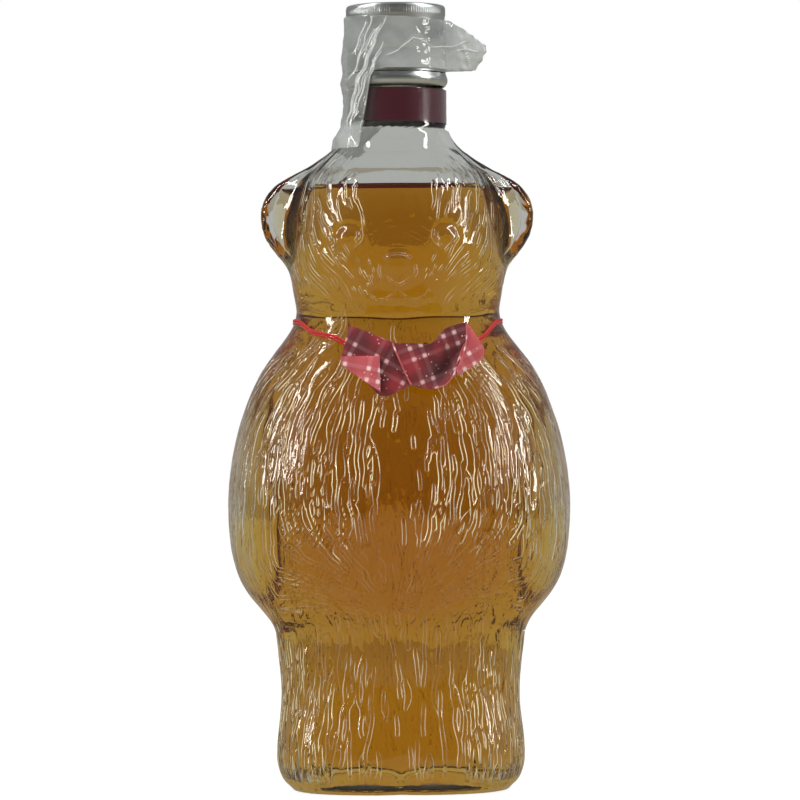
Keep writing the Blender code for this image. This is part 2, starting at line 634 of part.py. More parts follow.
def whisky():
    finish = material("whisky", (0.62, 0.30, 0.05), 0.05, transmission=0.8, alpha=0.8)
    bm = bmesh.new()
    before = None
    for z in [z for z in hollow_heights() if z <= FILL_Z][::-1]:
        angles = [body_angle(k, NECK_COLUMNS, z) for k in range(NECK_COLUMNS)]
        lift = WHISKY_GAP * smooth_step(BASE_THICKNESS + INNER_HEEL_ROUND, BASE_THICKNESS, z)
        after = ring(bm, [hollow_point(a, z, WHISKY_GAP, lift) for a in angles])
        if before:
            join_rings(bm, before, after, split=True)
        else:
            close_ring(bm, after, (0.0, 0.0, FILL_Z))
        before = after
    close_ring(bm, before, (0.0, 0.0, BASE_THICKNESS + WHISKY_GAP))
    return object_from("whisky", bm, finish)


def cap_shell():
    finish = material("bare_aluminium", (0.62, 0.64, 0.65), 0.32, metallic=1.0)
    smooth_radius = CAP_RADIUS - CAP_KNURL_STEP
    knurl_bottom = CAP_TOP_Z - CAP_KNURL_HEIGHT
    outline = [
        (0.0, CAP_TOP_Z),
        (CAP_RADIUS - CAP_EDGE_ROUND, CAP_TOP_Z),
        (CAP_RADIUS - 0.3 * CAP_EDGE_ROUND, CAP_TOP_Z - 0.3 * CAP_EDGE_ROUND),
        (CAP_RADIUS, CAP_TOP_Z - CAP_EDGE_ROUND),
        (CAP_RADIUS, knurl_bottom),
        (smooth_radius, knurl_bottom - CAP_KNURL_STEP),
        (smooth_radius, THREAD_END_Z + 0.5 * THREAD_PITCH),
        (CAP_RADIUS, THREAD_END_Z),
        (CAP_RADIUS, SKIRT_BOTTOM_Z),
        (CAP_INNER_RADIUS, SKIRT_BOTTOM_Z),
        (CAP_INNER_RADIUS, THREAD_END_Z),
        (CAP_KNURLED_INNER, THREAD_END_Z + 0.5 * THREAD_PITCH),
        (CAP_KNURLED_INNER, CAP_CEILING_Z),
        (0.0, CAP_CEILING_Z),
    ]
    cap = turned("cap_shell", outline, finish)
    rolled_start = THREAD_START_Z - 0.5 * THREAD_PITCH
    inner_ridge = helical_ridge(
        "rolled_thread_tool",
        rolled_start,
        ROLLED_TURNS,
        CAP_INNER_RADIUS + 0.5 * CAP_WALL,
        CAP_INNER_RADIUS - ROLLED_REACH,
        2.2 * ROLLED_HALF_WIDTH,
        ROLLED_HALF_WIDTH,
    )
    boolean(cap, inner_ridge, "UNION")
    groove = helical_ridge(
        "rolled_groove_tool",
        rolled_start,
        ROLLED_TURNS,
        CAP_RADIUS + CAP_WALL,
        CAP_RADIUS - ROLLED_REACH + CAP_WALL,
        3.0 * ROLLED_HALF_WIDTH,
        0.4 * ROLLED_HALF_WIDTH,
    )
    boolean(cap, groove, "DIFFERENCE")
    carry(cap, joint_empty("cap_turn_axis", (0.0, 0.0, SKIRT_BOTTOM_Z)))
    return cap


def cap_liner():
    finish = material("liner_polyethylene", (0.85, 0.85, 0.82), 0.5)
    radius = CAP_KNURLED_INNER - LINER_CLEARANCE
    outline = [
        (0.0, LINER_TOP_Z),
        (radius, LINER_TOP_Z),
        (radius, LINER_BOTTOM_Z),
        (0.0, LINER_BOTTOM_Z),
    ]
    liner = turned("cap_liner", outline, finish)
    carry(liner, joint_empty("cap_rise_axis", (0.0, 0.0, LINER_BOTTOM_Z)))
    return liner


def pilfer_band():
    finish = material("bare_aluminium_band", (0.62, 0.64, 0.65), 0.32, metallic=1.0)
    lip_top = BEAD_BOTTOM_Z - RUNNING_GAP
    lip_bottom = NECK_TOP_Z + RECESS_EDGE + RUNNING_GAP
    lip_inner = RECESS_RADIUS + RUNNING_GAP
    outline = [
        (BAND_PLAIN_RADIUS, BEAD_TOP_Z),
        (BAND_RADIUS, BEAD_TOP_Z - 0.4 * BEAD_HEIGHT),
        (BAND_RADIUS, BEAD_BOTTOM_Z),
        (BAND_PLAIN_RADIUS, lip_bottom + RECESS_EDGE),
        (BAND_INNER_RADIUS, lip_bottom),
        (lip_inner, lip_bottom),
        (lip_inner, lip_top),
        (BAND_INNER_RADIUS, lip_top),
        (BAND_INNER_RADIUS, BEAD_TOP_Z),
    ]
    band = turned("pilfer_band", outline, finish)
    carry(band, joint_empty("band_turn_axis", (0.0, 0.0, BEAD_BOTTOM_Z)))
    return band


def neck_label():
    finish = material("label_paper", (0.075, 0.010, 0.020), 0.45)
    bm = bmesh.new()
    start = LABEL_OPEN_AT + 0.5 * LABEL_OPEN_ANGLE
    sweep = 2.0 * math.pi - LABEL_OPEN_ANGLE
    top = NECK_TOP_Z - LABEL_TOP_GAP
    sections = []
    for k in range(LABEL_COLUMNS + 1):
        angle = start + sweep * k / LABEL_COLUMNS
        outline = (
            (LABEL_INNER_RADIUS, LABEL_BOTTOM_Z),
            (LABEL_RADIUS, LABEL_BOTTOM_Z),
            (LABEL_RADIUS, top),
            (LABEL_INNER_RADIUS, top),
        )
        places = [(r * math.cos(angle), r * math.sin(angle), z) for r, z in outline]
        sections.append(ring(bm, places))
    for first, second in zip(sections, sections[1:]):
        join_rings(bm, first, second)
    bm.faces.new(sections[0])
    bm.faces.new(sections[-1])
    return object_from("neck_label", bm, finish)


def film_edges(angle):
    """The capsule's lower and upper edge. It is torn away at the front right, below the score line."""
    from_left = abs(math.remainder(angle - math.pi, 2.0 * math.pi))
    if math.sin(angle) < 0.0:
        torn = smooth_step(math.radians(52), math.radians(68), from_left)
    else:
        torn = smooth_step(math.radians(40), math.radians(120), from_left)
    torn_z = SKIRT_BOTTOM_Z + FILM_TORN_ABOVE_SCORE
    low = FILM_HEM_Z + torn * (torn_z - FILM_HEM_Z)
    high = FILM_TOP_Z - 0.5 * FILM_SLANT * (1.0 + math.cos(angle))
    return low, high


def film_radius(angle, z):
    over_neck = through(
        [
            (NECK_BASE_Z, FILM_OVER_LABEL),
            (NECK_TOP_Z - FILM_STEP, FILM_OVER_LABEL),
            (BEAD_BOTTOM_Z - FILM_STEP, FILM_OVER_BAND),
            (BEAD_TOP_Z, FILM_OVER_BAND),
            (SKIRT_BOTTOM_Z + FILM_STEP, FILM_OVER_CAP),
        ],
        z,
    )
    radius = over_neck
    if z < NECK_BASE_Z:
        radius = max(over_neck, trunk_radius(angle, z) + 2.0 * TOUCH_GAP)
    height = (z - SKIRT_BOTTOM_Z) / (FILM_TOP_Z - SKIRT_BOTTOM_Z)
    flap = through([(0.0, 0.66), (0.20, 0.80), (0.38, 1.0), (0.50, 0.92), (0.62, 0.70), (0.98, 0.0)], height)
    return radius + FILM_FLAP_REACH * flap * dome((angle - FILM_FLAP_ANGLE) / FILM_FLAP_SPREAD)


def film_angle(column):
    """Columns around the capsule, closer together in the flap."""
    even = 2.0 * math.pi * column / FILM_COLUMNS + FILM_FLAP_ANGLE
    return even - 0.45 * math.sin(even - FILM_FLAP_ANGLE)


def shrink_film():
    finish = material("clear_shrink_film", (0.90, 0.91, 0.92), 0.25, transmission=0.5, alpha=0.4)
    angles = [math.remainder(film_angle(column), 2.0 * math.pi) for column in range(FILM_COLUMNS)]
    heights = []
    for angle in angles:
        low, high = film_edges(angle)
        heights.append([low + (high - low) * row / FILM_ROWS for row in range(FILM_ROWS + 1)])
    bm = bmesh.new()
    rings = [[] for _ in range(FILM_ROWS + 1)]
    for column, angle in enumerate(angles):
        sides = (heights[column - 1], heights[column], heights[(column + 1) % FILM_COLUMNS])
        for row in range(FILM_ROWS + 1):
            z = heights[column][row]
            # A point stands off as far as the widest thing between its neighbours, so that the faces
            # between the points clear it too.
            near = [side[k] for side in sides for k in (max(0, row - 1), min(FILM_ROWS, row + 1))]
            stops = [min(near) + (max(near) - min(near)) * k / 8 for k in range(9)]
            radius = max(film_radius(angle, stop) for stop in stops)
            rings[row].append(bm.verts.new((radius * math.cos(angle), radius * math.sin(angle), z)))
    for first, second in zip(rings, rings[1:]):
        join_rings(bm, first, second)
    film = object_from("shrink_film", bm, finish)
    thickness = film.modifiers.new("film_thickness", "SOLIDIFY")
    thickness.thickness = FILM_THICKNESS
    thickness.offset = 1.0
    thickness.use_even_offset = False
    return film


def cord_clearance(angle, z, around):
    """How far out a round cord's middle must be to stay the gap away from the glass."""
    reach = 0.0
    for k in range(-4, 5):
        rise = around * k / 4.5
        side = math.sqrt(around * around - rise * rise)
        reach = max(reach, glass_radius(angle, z + rise) + side)
    return reach


def knot_centre():
    """Where the cord runs through the bow's knot: the knot just clears the chest."""
    front = through(FRONT_DEPTHS, KNOT_Z - 0.5 * KNOT_RADIUS)
    return (KNOT_X, -(front + KNOT_RADIUS + TOUCH_GAP), KNOT_Z)


def cord_route():
    """The cord's middle line: round the neck crease, dipping to the knot in front."""
    around = CORD_RADIUS + TOUCH_GAP
    knot = knot_centre()
    straight = KNOT_HALF_LENGTH + CORD_RADIUS
    points = []
    for k in range(CORD_POINTS):
        angle = 2.0 * math.pi * k / CORD_POINTS
        forward = max(0.0, -math.sin(angle))
        if forward:
            z = between(CORD_SIDE_Z, KNOT_Z, smooth_step(0.25, 0.97, forward))
        else:
            z = between(CORD_SIDE_Z, CORD_BACK_Z, math.sin(angle) ** 2)
        radius = cord_clearance(angle, z, around)
        x = radius * math.cos(angle)
        y = radius * math.sin(angle)
        if forward:
            y = min(y, between(y, knot[1], smooth_step(BOW_HALF_WIDTH, straight, abs(x - KNOT_X))))
            z = between(z, knot[2], smooth_step(0.7 * BOW_HALF_WIDTH, straight, abs(x - KNOT_X)))
        points.append((x, y, z))
    return points


def neck_cord():
    finish = material("red_elastic", (0.50, 0.010, 0.012), 0.6)
    curve = bpy.data.curves.new("neck_cord", "CURVE")
    curve.dimensions = "3D"
    curve.bevel_depth = CORD_RADIUS
    curve.bevel_resolution = 2
    spline = curve.splines.new("POLY")
    route = cord_route()
    spline.points.add(len(route) - 1)
    for point, place in zip(spline.points, route):
        point.co = (*place, 1.0)
    spline.use_cyclic_u = True
    curve.materials.append(finish)
    cord = bpy.data.objects.new("neck_cord", curve)
    bpy.context.scene.collection.objects.link(cord)
    return cord


# The bow from the front, left to right: across, top edge, lower edge, as shares of its half width, rise
# and drop, and how much of the knot's depth is there.
BOW_STATIONS = [
    (-1.02, 0.05, -0.25, 0.0),
    (-0.88, 0.98, -0.42, 0.0),
    (-0.60, 0.78, -0.72, 0.0),
    (-0.37, 0.52, -0.99, 0.25),
    (-0.20, 0.38, -0.82, 0.85),
    (0.00, 0.36, -0.72, 1.0),
    (0.20, 0.38, -0.78, 0.85),
    (0.37, 0.56, -0.80, 0.25),
    (0.56, 0.82, -0.58, 0.0),
    (0.73, 1.00, -0.36, 0.0),
    (0.98, 0.14, -0.06, 0.0),
]


def bow_ribbon():
    """The tied ribbon: flat wings in front of the cord, gathered into the knot that the cord runs through."""
    finish = material("plaid_ribbon", (0.33, 0.035, 0.055), 0.7)
    knot = knot_centre()
    knot_middle = knot[1] + KNOT_RADIUS - KNOT_HALF_DEPTH
    wing_middle = knot[1] - CORD_RADIUS - RUNNING_GAP - RIBBON_HALF_THICKNESS
    bm = bmesh.new()
    sections = []
    for across, top, bottom, gathered in BOW_STATIONS:
        x = KNOT_X + BOW_HALF_WIDTH * across
        high = KNOT_Z + BOW_RISE * top
        low = KNOT_Z + BOW_DROP * bottom
        half_depth = between(RIBBON_HALF_THICKNESS, KNOT_HALF_DEPTH, gathered)
        middle = between(wing_middle, knot_middle, gathered)
        lean = BOW_LEAN * between(0.25, 1.0, gathered)
        places = []
        for k in range(BOW_SECTION_POINTS):
            turn = 2.0 * math.pi * k / BOW_SECTION_POINTS
            z = between(low, high, 0.5 + 0.5 * math.cos(turn))
            y = middle + lean * (z - KNOT_Z) + half_depth * math.sin(turn)
            places.append((x, y, z))
        sections.append(ring(bm, places))
    for first, second in zip(sections, sections[1:]):
        join_rings(bm, first, second)
    bm.faces.new(sections[0])
    bm.faces.new(sections[-1])
    bow = object_from("bow_ribbon", bm, finish)

    bore_half = 1.8 * KNOT_HALF_LENGTH
    bore = turned(
        "knot_bore_tool",
        [(0.0, bore_half), (KNOT_BORE, bore_half), (KNOT_BORE, -bore_half), (0.0, -bore_half)],
        None,
        columns=16,
    )
    bore.rotation_euler = (0.0, math.radians(90), 0.0)
    bore.location = knot
    boolean(bow, bore, "DIFFERENCE")
    carry(bow, joint_empty("bow_flip_axis", knot))
    return bow


clear_scene()
glass_bottle()
whisky()
cap_shell()
cap_liner()
pilfer_band()
neck_label()
shrink_film()
neck_cord()
bow_ribbon()
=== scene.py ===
import math
import random

import bmesh
import bpy
import numpy as np
from mathutils import Matrix, Vector
from mathutils.bvhtree import BVHTree


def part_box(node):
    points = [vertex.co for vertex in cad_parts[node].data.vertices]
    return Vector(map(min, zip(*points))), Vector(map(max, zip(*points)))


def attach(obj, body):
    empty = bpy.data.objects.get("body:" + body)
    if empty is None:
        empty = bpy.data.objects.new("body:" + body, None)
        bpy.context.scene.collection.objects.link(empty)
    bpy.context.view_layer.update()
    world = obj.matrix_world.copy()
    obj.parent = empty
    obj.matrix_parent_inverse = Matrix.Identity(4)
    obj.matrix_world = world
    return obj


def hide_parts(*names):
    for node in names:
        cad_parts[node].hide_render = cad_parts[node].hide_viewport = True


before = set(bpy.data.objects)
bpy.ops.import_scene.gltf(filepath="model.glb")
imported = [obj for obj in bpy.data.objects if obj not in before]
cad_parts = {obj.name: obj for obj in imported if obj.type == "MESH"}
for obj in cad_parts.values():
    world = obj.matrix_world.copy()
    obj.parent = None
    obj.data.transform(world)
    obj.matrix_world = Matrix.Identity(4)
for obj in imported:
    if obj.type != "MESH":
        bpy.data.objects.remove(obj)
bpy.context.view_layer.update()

MM = 0.001
RANDOM_SEED = 11

# The camera stands level, 1.25 m in front of the neck's axis.
CAMERA_DISTANCE = 1.25
CAMERA_HEIGHT = 0.12305
CAMERA_RIGHT = 0.0005
CAMERA_ROLL = math.radians(-0.43)
VIEW_WIDTH = 0.25384
SENSOR_WIDTH = 36.0

# The strip light that glass and metal mirror on both sides. Foot and top are the upward part of a unit
# step towards them.
STRIP_AZIMUTH = math.radians(72.0)
STRIP_HALF_WIDTH = math.radians(4.0)
STRIP_FOOT = 0.12
STRIP_TOP = 0.85
STRIP_STRENGTH = 20.0

# A softbox stands on both sides.
SOFTBOX_DISTANCE = 0.9
SOFTBOX_LOW = 0.25
SOFTBOX_HIGH = 1.05
SOFTBOX_WIDTH = 0.35

# Refraction: glass and whisky in air, and glass against whisky.
GLASS_IOR = 1.5
WHISKY_IOR = 1.36
GLASS_ON_WHISKY_IOR = 1.103

# The glass: the columns that its mesh has round the axis, and its heights from heel to mouth.
OUTER_COLUMNS = 480
INNER_COLUMNS = 120
HEEL_Z = 0.0004
NECK_FOOT_Z = 0.2085
BORE_FOOT_Z = 0.2235
MOUTH_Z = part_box("glass_bottle")[1].z
# Blown glass is uneven in slow waves, and hammered glass in short ones.
BLOWN_WAVE_SIZE = 0.006
BLOWN_WAVE_HEIGHT = 0.00010
HAMMERED_WAVE_SIZE = 0.00055
HAMMERED_WAVE_HEIGHT = 0.00022
# The rings of the sole, as shares of the heel's outline.
SOLE_SHARES = (0.97, 0.88, 0.78, 0.66, 0.50, 0.34, 0.17)
# The node's inner floor lies just below its whisky, and the floor here lies lower still.
INNER_FLOOR_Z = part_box("whisky")[0].z - 0.0006
FLOOR_Z = INNER_FLOOR_Z - 0.0028
RIDGE_Z = 0.0172
RIDGE_HEIGHT = 0.0007
# The arms are thick glass: the wall there is this much thicker than the node's.
ARM_GLASS = 0.0055
# The ears' hollows follow their outside, this far in, and this many times narrower.
EAR_GLASS = 0.0040
EAR_NARROWING = 1.3
FILL_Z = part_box("whisky")[1].z
# The whisky reaches this far into the glass, so that no air shows between them.
WHISKY_LAP = 0.0002
# It climbs the wall by the meniscus: how far in from the wall, and the share of the climb that is left.
MENISCUS = 0.0022
MENISCUS_CURVE = [
    (0.0003, 0.82),
    (0.0006, 0.62),
    (0.0011, 0.40),
    (0.0018, 0.20),
    (0.0028, 0.06),
    (0.0042, 0.0),
]

# The face. Eyes and ears stand as far to the left as to the right.
EYE_Z = 0.1736
EYE_X = 0.0151
EYE_RADIUS = 0.0034
NOSE_Z = 0.1640
MUZZLE_Z = 0.1620
MOUTH_Z_ON_FACE = 0.1545
EAR_X = 0.0405
EAR_Z = 0.1800
# The ears stand this far behind the widest line of the head, as an angle at the axis.
EAR_BACK = math.radians(3.0)
# The groove between head and ear: x and z of its upper and lower end.
SEAM_TOP = (0.0285, 0.1880)
SEAM_FOOT = (0.0338, 0.1670)
# Lines on the face, as x and z in millimetres. Those on one side of the middle are mirrored.
FACE_LINES = [
    [(-4.0, 166.9), (-2.2, 167.9), (0.3, 168.2), (2.6, 167.9), (4.3, 167.0)],
    [(5.4, 164.6), (5.7, 162.9), (5.0, 161.2)],
    [(-3.0, 160.8), (-1.2, 159.5), (0.5, 158.8), (2.4, 159.8), (4.4, 161.2)],
    [(0.5, 156.6), (3.0, 154.6), (6.0, 154.2), (8.6, 155.6)],
    [(11.3, 175.6), (11.0, 173.9), (11.8, 172.2), (13.4, 170.9)],
    [(12.2, 174.8), (12.0, 173.6), (12.8, 172.5)],
]

# The fur. The belly's hair runs together at its point, and its hem is drawn up in front by the lift.
BELLY_POINT_Z = 0.0565
BELLY_HALF_WIDTH = 0.0382
HEM_LIFT = 0.0100
CREASE_Z = 0.1500
# A distance from a hair is given in half widths of the hair, up to this.
FAR_FROM_HAIR = 3.0
HAIR_HEIGHT = 0.00022
HAIR_STEP = 0.0004
FACE_LINE_HEIGHT = 0.4 * HAIR_HEIGHT
FACE_LINE_HALF_WIDTH = 0.00042

# The cap, the band and the label.
KNURLS = 120
KNURL_HEIGHT = 0.0034
KNURL_DEPTH = 0.00017
CAP_EDGE_RADIUS = 0.0009
CAP_WALL = 0.00042
# The thread is a groove that is rolled into the cap.
THREAD_PITCH = 0.0032
THREAD_TURNS = 1.3
THREAD_DEPTH = 0.00075
THREAD_HALF_WIDTH = 0.0007
BAND_COLUMNS = 192
BAND_WALL = 0.00038
BAND_STUBS = 12
# The band's outline: the share of its height, and the share of its radius there.
BAND_OUTLINE = [
    (0.0, 0.94),
    (0.10, 0.965),
    (0.30, 0.995),
    (0.45, 1.0),
    (0.62, 1.0),
    (0.80, 0.985),
    (1.0, 0.966),
]
LABEL_COLUMNS = 180
LABEL_GAP = math.radians(60.0)
LABEL_GAP_AT = math.radians(-178.0)
LABEL_THICKNESS = 0.00014

# The film.
FILM_COLUMNS = 400
FILM_ROWS = 110
FILM_THICKNESS = 0.00006
# Its flap points this way, and what lies right of the x and above the z is on the flap.
FLAP_ANGLE = math.radians(-4.0)
FLAP_X = 0.0170
FLAP_Z = 0.2235
# Lines on the film's front, as x and z in millimetres: pulled strands run down, and folds run across.
FILM_STRANDS = [
    [(-2.7, 243.6), (-6.1, 236.6), (-9.2, 227.8), (-13.9, 217.9)],
    [(-7.0, 244.0), (-9.0, 238.0), (-11.1, 230.9), (-13.6, 224.6)],
    [(-4.6, 241.5), (-8.0, 233.0), (-10.6, 225.0), (-13.6, 213.0)],
    [(-6.3, 236.0), (-9.8, 228.8), (-12.4, 221.0), (-14.6, 211.0)],
    [(-3.6, 236.0), (-7.0, 229.0), (-9.6, 222.0), (-12.4, 214.0)],
    [(-7.8, 232.0), (-11.4, 225.5), (-13.4, 219.0), (-15.0, 209.0)],
    [(-5.4, 240.0), (-8.2, 235.5), (-11.8, 229.0), (-14.6, 223.5)],
    [(-9.2, 242.5), (-10.6, 238.0), (-13.0, 231.5)],
    [(-5.9, 231.0), (-8.6, 226.0), (-11.2, 218.0), (-13.0, 211.0)],
    [(-8.8, 227.0), (-12.4, 217.0), (-14.4, 207.5)],
    [(-4.4, 233.2), (-6.2, 229.6), (-8.8, 222.6)],
    [(21.5, 234.5), (22.8, 231.0), (23.2, 227.5)],
]
FILM_FOLDS = [
    [(-3.4, 231.2), (0.6, 232.4), (5.5, 236.9), (11.5, 234.1), (17.0, 234.4), (22.8, 236.2)],
    [(-5.0, 224.6), (5.0, 225.8), (15.5, 226.2), (24.5, 226.4)],
    [(18.5, 233.2), (23.0, 233.6), (26.2, 233.0)],
    [(-11.0, 209.0), (-6.0, 205.6), (0.0, 203.4)],
]
# How far the film stands off on the left: the height and the distance, in millimetres.
FILM_SWELLS = [
    (205.0, 0.0),
    (212.0, 0.6),
    (216.8, 0.0),
    (219.5, 0.0),
    (223.3, 0.7),
    (226.9, 0.0),
    (232.2, 0.8),
    (240.0, 0.0),
]

# The cord and the bow. The cord's node has a ring of corners at each of its stations.
CORD_STATIONS = 56
SAMPLES_PER_STATION = 4
STRAND_RADIUS = 0.00042
STRAND_SIDES = 10
# On the left, the cord is drawn up to the bow in a straighter line: by how much, where, and how far about.
CORD_LIFT = 0.0036
CORD_LIFT_X = -0.0205
CORD_LIFT_REACH = 0.0075
KNOT = Vector((0.0050, -0.03278, 0.1375))
RIBBON_THICKNESS = 0.0004
# The plaid repeats after so many millimetres.
PLAID_PERIOD = 11.0


def smooth_step(low, high, value):
    """0 below low, 1 above high, and a smooth change between them."""
    share = np.clip((value - low) / (high - low), 0.0, 1.0)
    return share * share * (3.0 - 2.0 * share)


def linear(colour):
    """An sRGB hex colour as the linear values that a shader takes."""
    parts = [int(colour[k:k + 2], 16) / 255.0 for k in (1, 3, 5)]
    return tuple(p / 12.92 if p <= 0.04045 else ((p + 0.055) / 1.055) ** 2.4 for p in parts) + (1.0,)


def add_node(tree, kind, inputs={}, **settings):
    """Adds a node with its settings. An input is a value, or another node's output."""
    made = tree.nodes.new("ShaderNode" + kind)
    for name, value in settings.items():
        setattr(made, name, value)
    for name, value in inputs.items():
        if isinstance(value, bpy.types.NodeSocket):
            tree.links.new(value, made.inputs[name])
        else:
            made.inputs[name].default_value = value
    return made


def calc(tree, operation, *terms):
    """The output of a Math node on numbers and outputs."""
    return add_node(tree, "Math", dict(enumerate(terms)), operation=operation).outputs[0]


def ranged(tree, value, low, high, at_low, at_high, change="LINEAR"):
    """The value's range from low to high, carried over to at_low and at_high."""
    inputs = {"Value": value, "From Min": low, "From Max": high, "To Min": at_low, "To Max": at_high}
    return add_node(tree, "MapRange", inputs, interpolation_type=change).outputs[0]


def soft_range(tree, value, low, high):
    """0 at low, 1 at high and a smooth change between, where low may be the larger one."""
    return ranged(tree, value, low, high, 0.0, 1.0, "SMOOTHSTEP")


def mixed_colour(tree, share, first, second):
    """The first colour, with that share of the second one."""
    return add_node(tree, "Mix", {0: share, 6: first, 7: second}, data_type="RGBA").outputs[2]


def new_material(name):
    """An empty material and its node tree."""
    material = bpy.data.materials.new(name)
    material.use_nodes = True
    tree = material.node_tree
    tree.nodes.clear()
    return material, tree


def add_surface(tree, inputs):
    """Adds a principled shader with these inputs as the material's surface."""
    shader = add_node(tree, "BsdfPrincipled", inputs)
    add_node(tree, "OutputMaterial", {"Surface": shader.outputs[0]})


def mesh_object(name, bm, material):
    """A smooth-shaded object of the finished bmesh."""
    mesh = bpy.data.meshes.new(name)
    bm.to_mesh(mesh)
    bm.free()
    mesh.shade_smooth()
    mesh.materials.append(material)
    obj = bpy.data.objects.new(name, mesh)
    bpy.context.scene.collection.objects.link(obj)
    return obj


def set_attribute(obj, name, values):
    """A named number at each point of the mesh, which a material can read."""
    attribute = obj.data.attributes.new(name, "FLOAT", "POINT")
    attribute.data.foreach_set("value", values.astype(np.float32))


def moulded_flint_glass():
    """Clear soda-lime glass, pressed in a chilled mould: glossy, with a faint orange peel from the iron."""
    material, tree = new_material("moulded_flint_glass")
    place = add_node(tree, "TexCoord")
    drawn = add_node(tree, "Mapping", {"Scale": (1.0, 1.0, 0.28), "Vector": place.outputs["Object"]})
    strands = add_node(
        tree,
        "TexNoise",
        {"Scale": 900.0, "Detail": 2.0, "Roughness": 0.5, "Vector": drawn.outputs[0]},
    )
    chill = add_node(tree, "Bump", {"Strength": 0.06, "Distance": 0.0003, "Height": strands.outputs[0]})
    side = add_node(tree, "Attribute", attribute_name="across_hair")
    either = calc(tree, "ABSOLUTE", side.outputs["Fac"])
    away = add_node(tree, "Attribute", attribute_name="from_hair")
    past_end = calc(tree, "SUBTRACT", away.outputs["Fac"], 0.25)
    off = calc(tree, "MAXIMUM", either, past_end)
    tall = add_node(tree, "Attribute", attribute_name="hair_height")
    top = soft_range(tree, off, 1.10, 0.45)
    hair = calc(tree, "MULTIPLY", top, tall.outputs["Fac"])
    sides = add_node(
        tree,
        "Bump",
        {"Strength": 1.0, "Distance": 0.00030, "Height": hair, "Normal": chill.outputs[0]},
    )
    # Painted glints: along both sides of a hair the glass turns matt and cream, where the ridge's edges
    # would catch the light; noise breaks these lines here and there.
    inner = soft_range(tree, either, 0.60, 0.82)
    outer = soft_range(tree, off, 1.22, 1.0)
    line = calc(tree, "MULTIPLY", inner, outer)
    lined = calc(tree, "MULTIPLY", line, tall.outputs["Fac"])
    patches = add_node(tree, "TexNoise", {"Scale": 330.0, "Detail": 1.0, "Vector": drawn.outputs[0]})
    glint_breaks = ranged(tree, patches.outputs[0], 0.38, 0.56, 0.2, 1.0)
    matt = calc(tree, "MULTIPLY", lined, glint_breaks)
    clear = calc(tree, "MULTIPLY_ADD", matt, -0.9, 1.0)
    glass_and_glint_colour = mixed_colour(tree, matt, linear("#f8faf8"), linear("#fff3c4"))
    add_surface(tree, {
        "Roughness": 0.015,
        "IOR": GLASS_IOR,
        "Base Color": glass_and_glint_colour,
        "Normal": sides.outputs[0],
        "Transmission Weight": clear,
    })
    return material


def wetted_flint_glass():
    """The inside of the glass where whisky lies on it: the liquid hides most of its gloss."""
    material, tree = new_material("wetted_flint_glass")
    add_surface(tree, {
        "Base Color": (1.0, 1.0, 1.0, 1.0),
        "Roughness": 0.0,
        "IOR": GLASS_ON_WHISKY_IOR,
        "Transmission Weight": 1.0,
    })
    return material


def amber_whisky(name, ior):
    """Whisky: clear as water, and the colour is in its depth, as oak gives it."""
    material, tree = new_material(name)
    liquid = add_node(
        tree,
        "BsdfPrincipled",
        {"Base Color": (1.0, 1.0, 1.0, 1.0), "Roughness": 0.0, "IOR": ior, "Transmission Weight": 1.0},
    )
    depth = add_node(tree, "VolumeAbsorption", {"Color": (0.920, 0.730, 0.0, 1.0), "Density": 85.0})
    add_node(tree, "OutputMaterial", {"Surface": liquid.outputs[0], "Volume": depth.outputs[0]})
    return material


def cad_tree(name):
    """The node's mesh, ready to be measured with rays."""
    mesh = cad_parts[name].data
    corners = [v.co for v in mesh.vertices]
    return BVHTree.FromPolygons(corners, [p.vertices for p in mesh.polygons], epsilon=1e-7)


def column_angles(columns, heights, in_front, by_ears):
    """The angle of each column at each height: closer in front, and at the sides where the ears are."""
    even = np.linspace(-math.pi, math.pi, 2881)
    angles = []
    for z in heights:
        ears = by_ears * smooth_step(0.152, 0.166, z) * smooth_step(0.206, 0.196, z)
        density = 1.0 - in_front * np.sin(even) + ears * np.abs(np.cos(even)) ** 14
        reached = np.concatenate([[0.0], np.cumsum(0.5 * (density[1:] + density[:-1]))])
        wanted = (np.arange(columns) + 0.5) / columns * reached[-1]
        angles.append(np.interp(wanted, reached, even))
    return np.array(angles)


def face_radii(tree, angles, heights, from_outside):
    """Distance from the axis to the node's outer or inner face, for each height and angle."""
    radii = np.zeros(angles.shape)
    for row, z in enumerate(heights):
        centre = Vector((0.0, 0.0, z))
        for column, angle in enumerate(angles[row]):
            outward = Vector((math.cos(angle), math.sin(angle), 0.0))
            if from_outside:
                place = tree.ray_cast(centre + 0.1 * outward, -outward)[0]
            else:
                place = tree.ray_cast(centre, outward)[0]
            radii[row, column] = place.xy.length
    return radii


def blurred(values, rows, columns):
    """The values smoothed by a Gaussian of so many rows and columns. Columns run round the object."""
    for axis, spread in ((0, rows), (1, columns)):
        reach = int(3.0 * spread) + 1
        weights = np.exp(-0.5 * (np.arange(-reach, reach + 1) / spread) ** 2)
        weights /= weights.sum()
        padding = [(0, 0), (0, 0)]
        padding[axis] = (reach, reach)
        wide = np.pad(values, padding, mode="edge" if axis == 0 else "wrap")
        count = values.shape[axis]
        values = sum(w * wide.take(range(k, k + count), axis=axis) for k, w in enumerate(weights))
    return values


def places(radii, angles, heights):
    """Points in space from distances, angles and heights."""
    levels = np.repeat(np.asarray(heights)[:, None], angles.shape[1], axis=1)
    return np.stack([radii * np.cos(angles), radii * np.sin(angles), levels], axis=-1)


def stepped(stretches):
    """Heights over stretches of (low, high, step)."""
    return np.concatenate([np.arange(low, high - 0.3 * step, step) for low, high, step in stretches])


def grid_normals(points):
    """Outward directions on a grid of points that runs up and round."""
    up = np.gradient(points, axis=0)
    round_the_axis = np.roll(points, -1, axis=1) - np.roll(points, 1, axis=1)
    normals = np.cross(round_the_axis, up)
    return normals / np.maximum(np.linalg.norm(normals, axis=-1, keepdims=True), 1e-12)


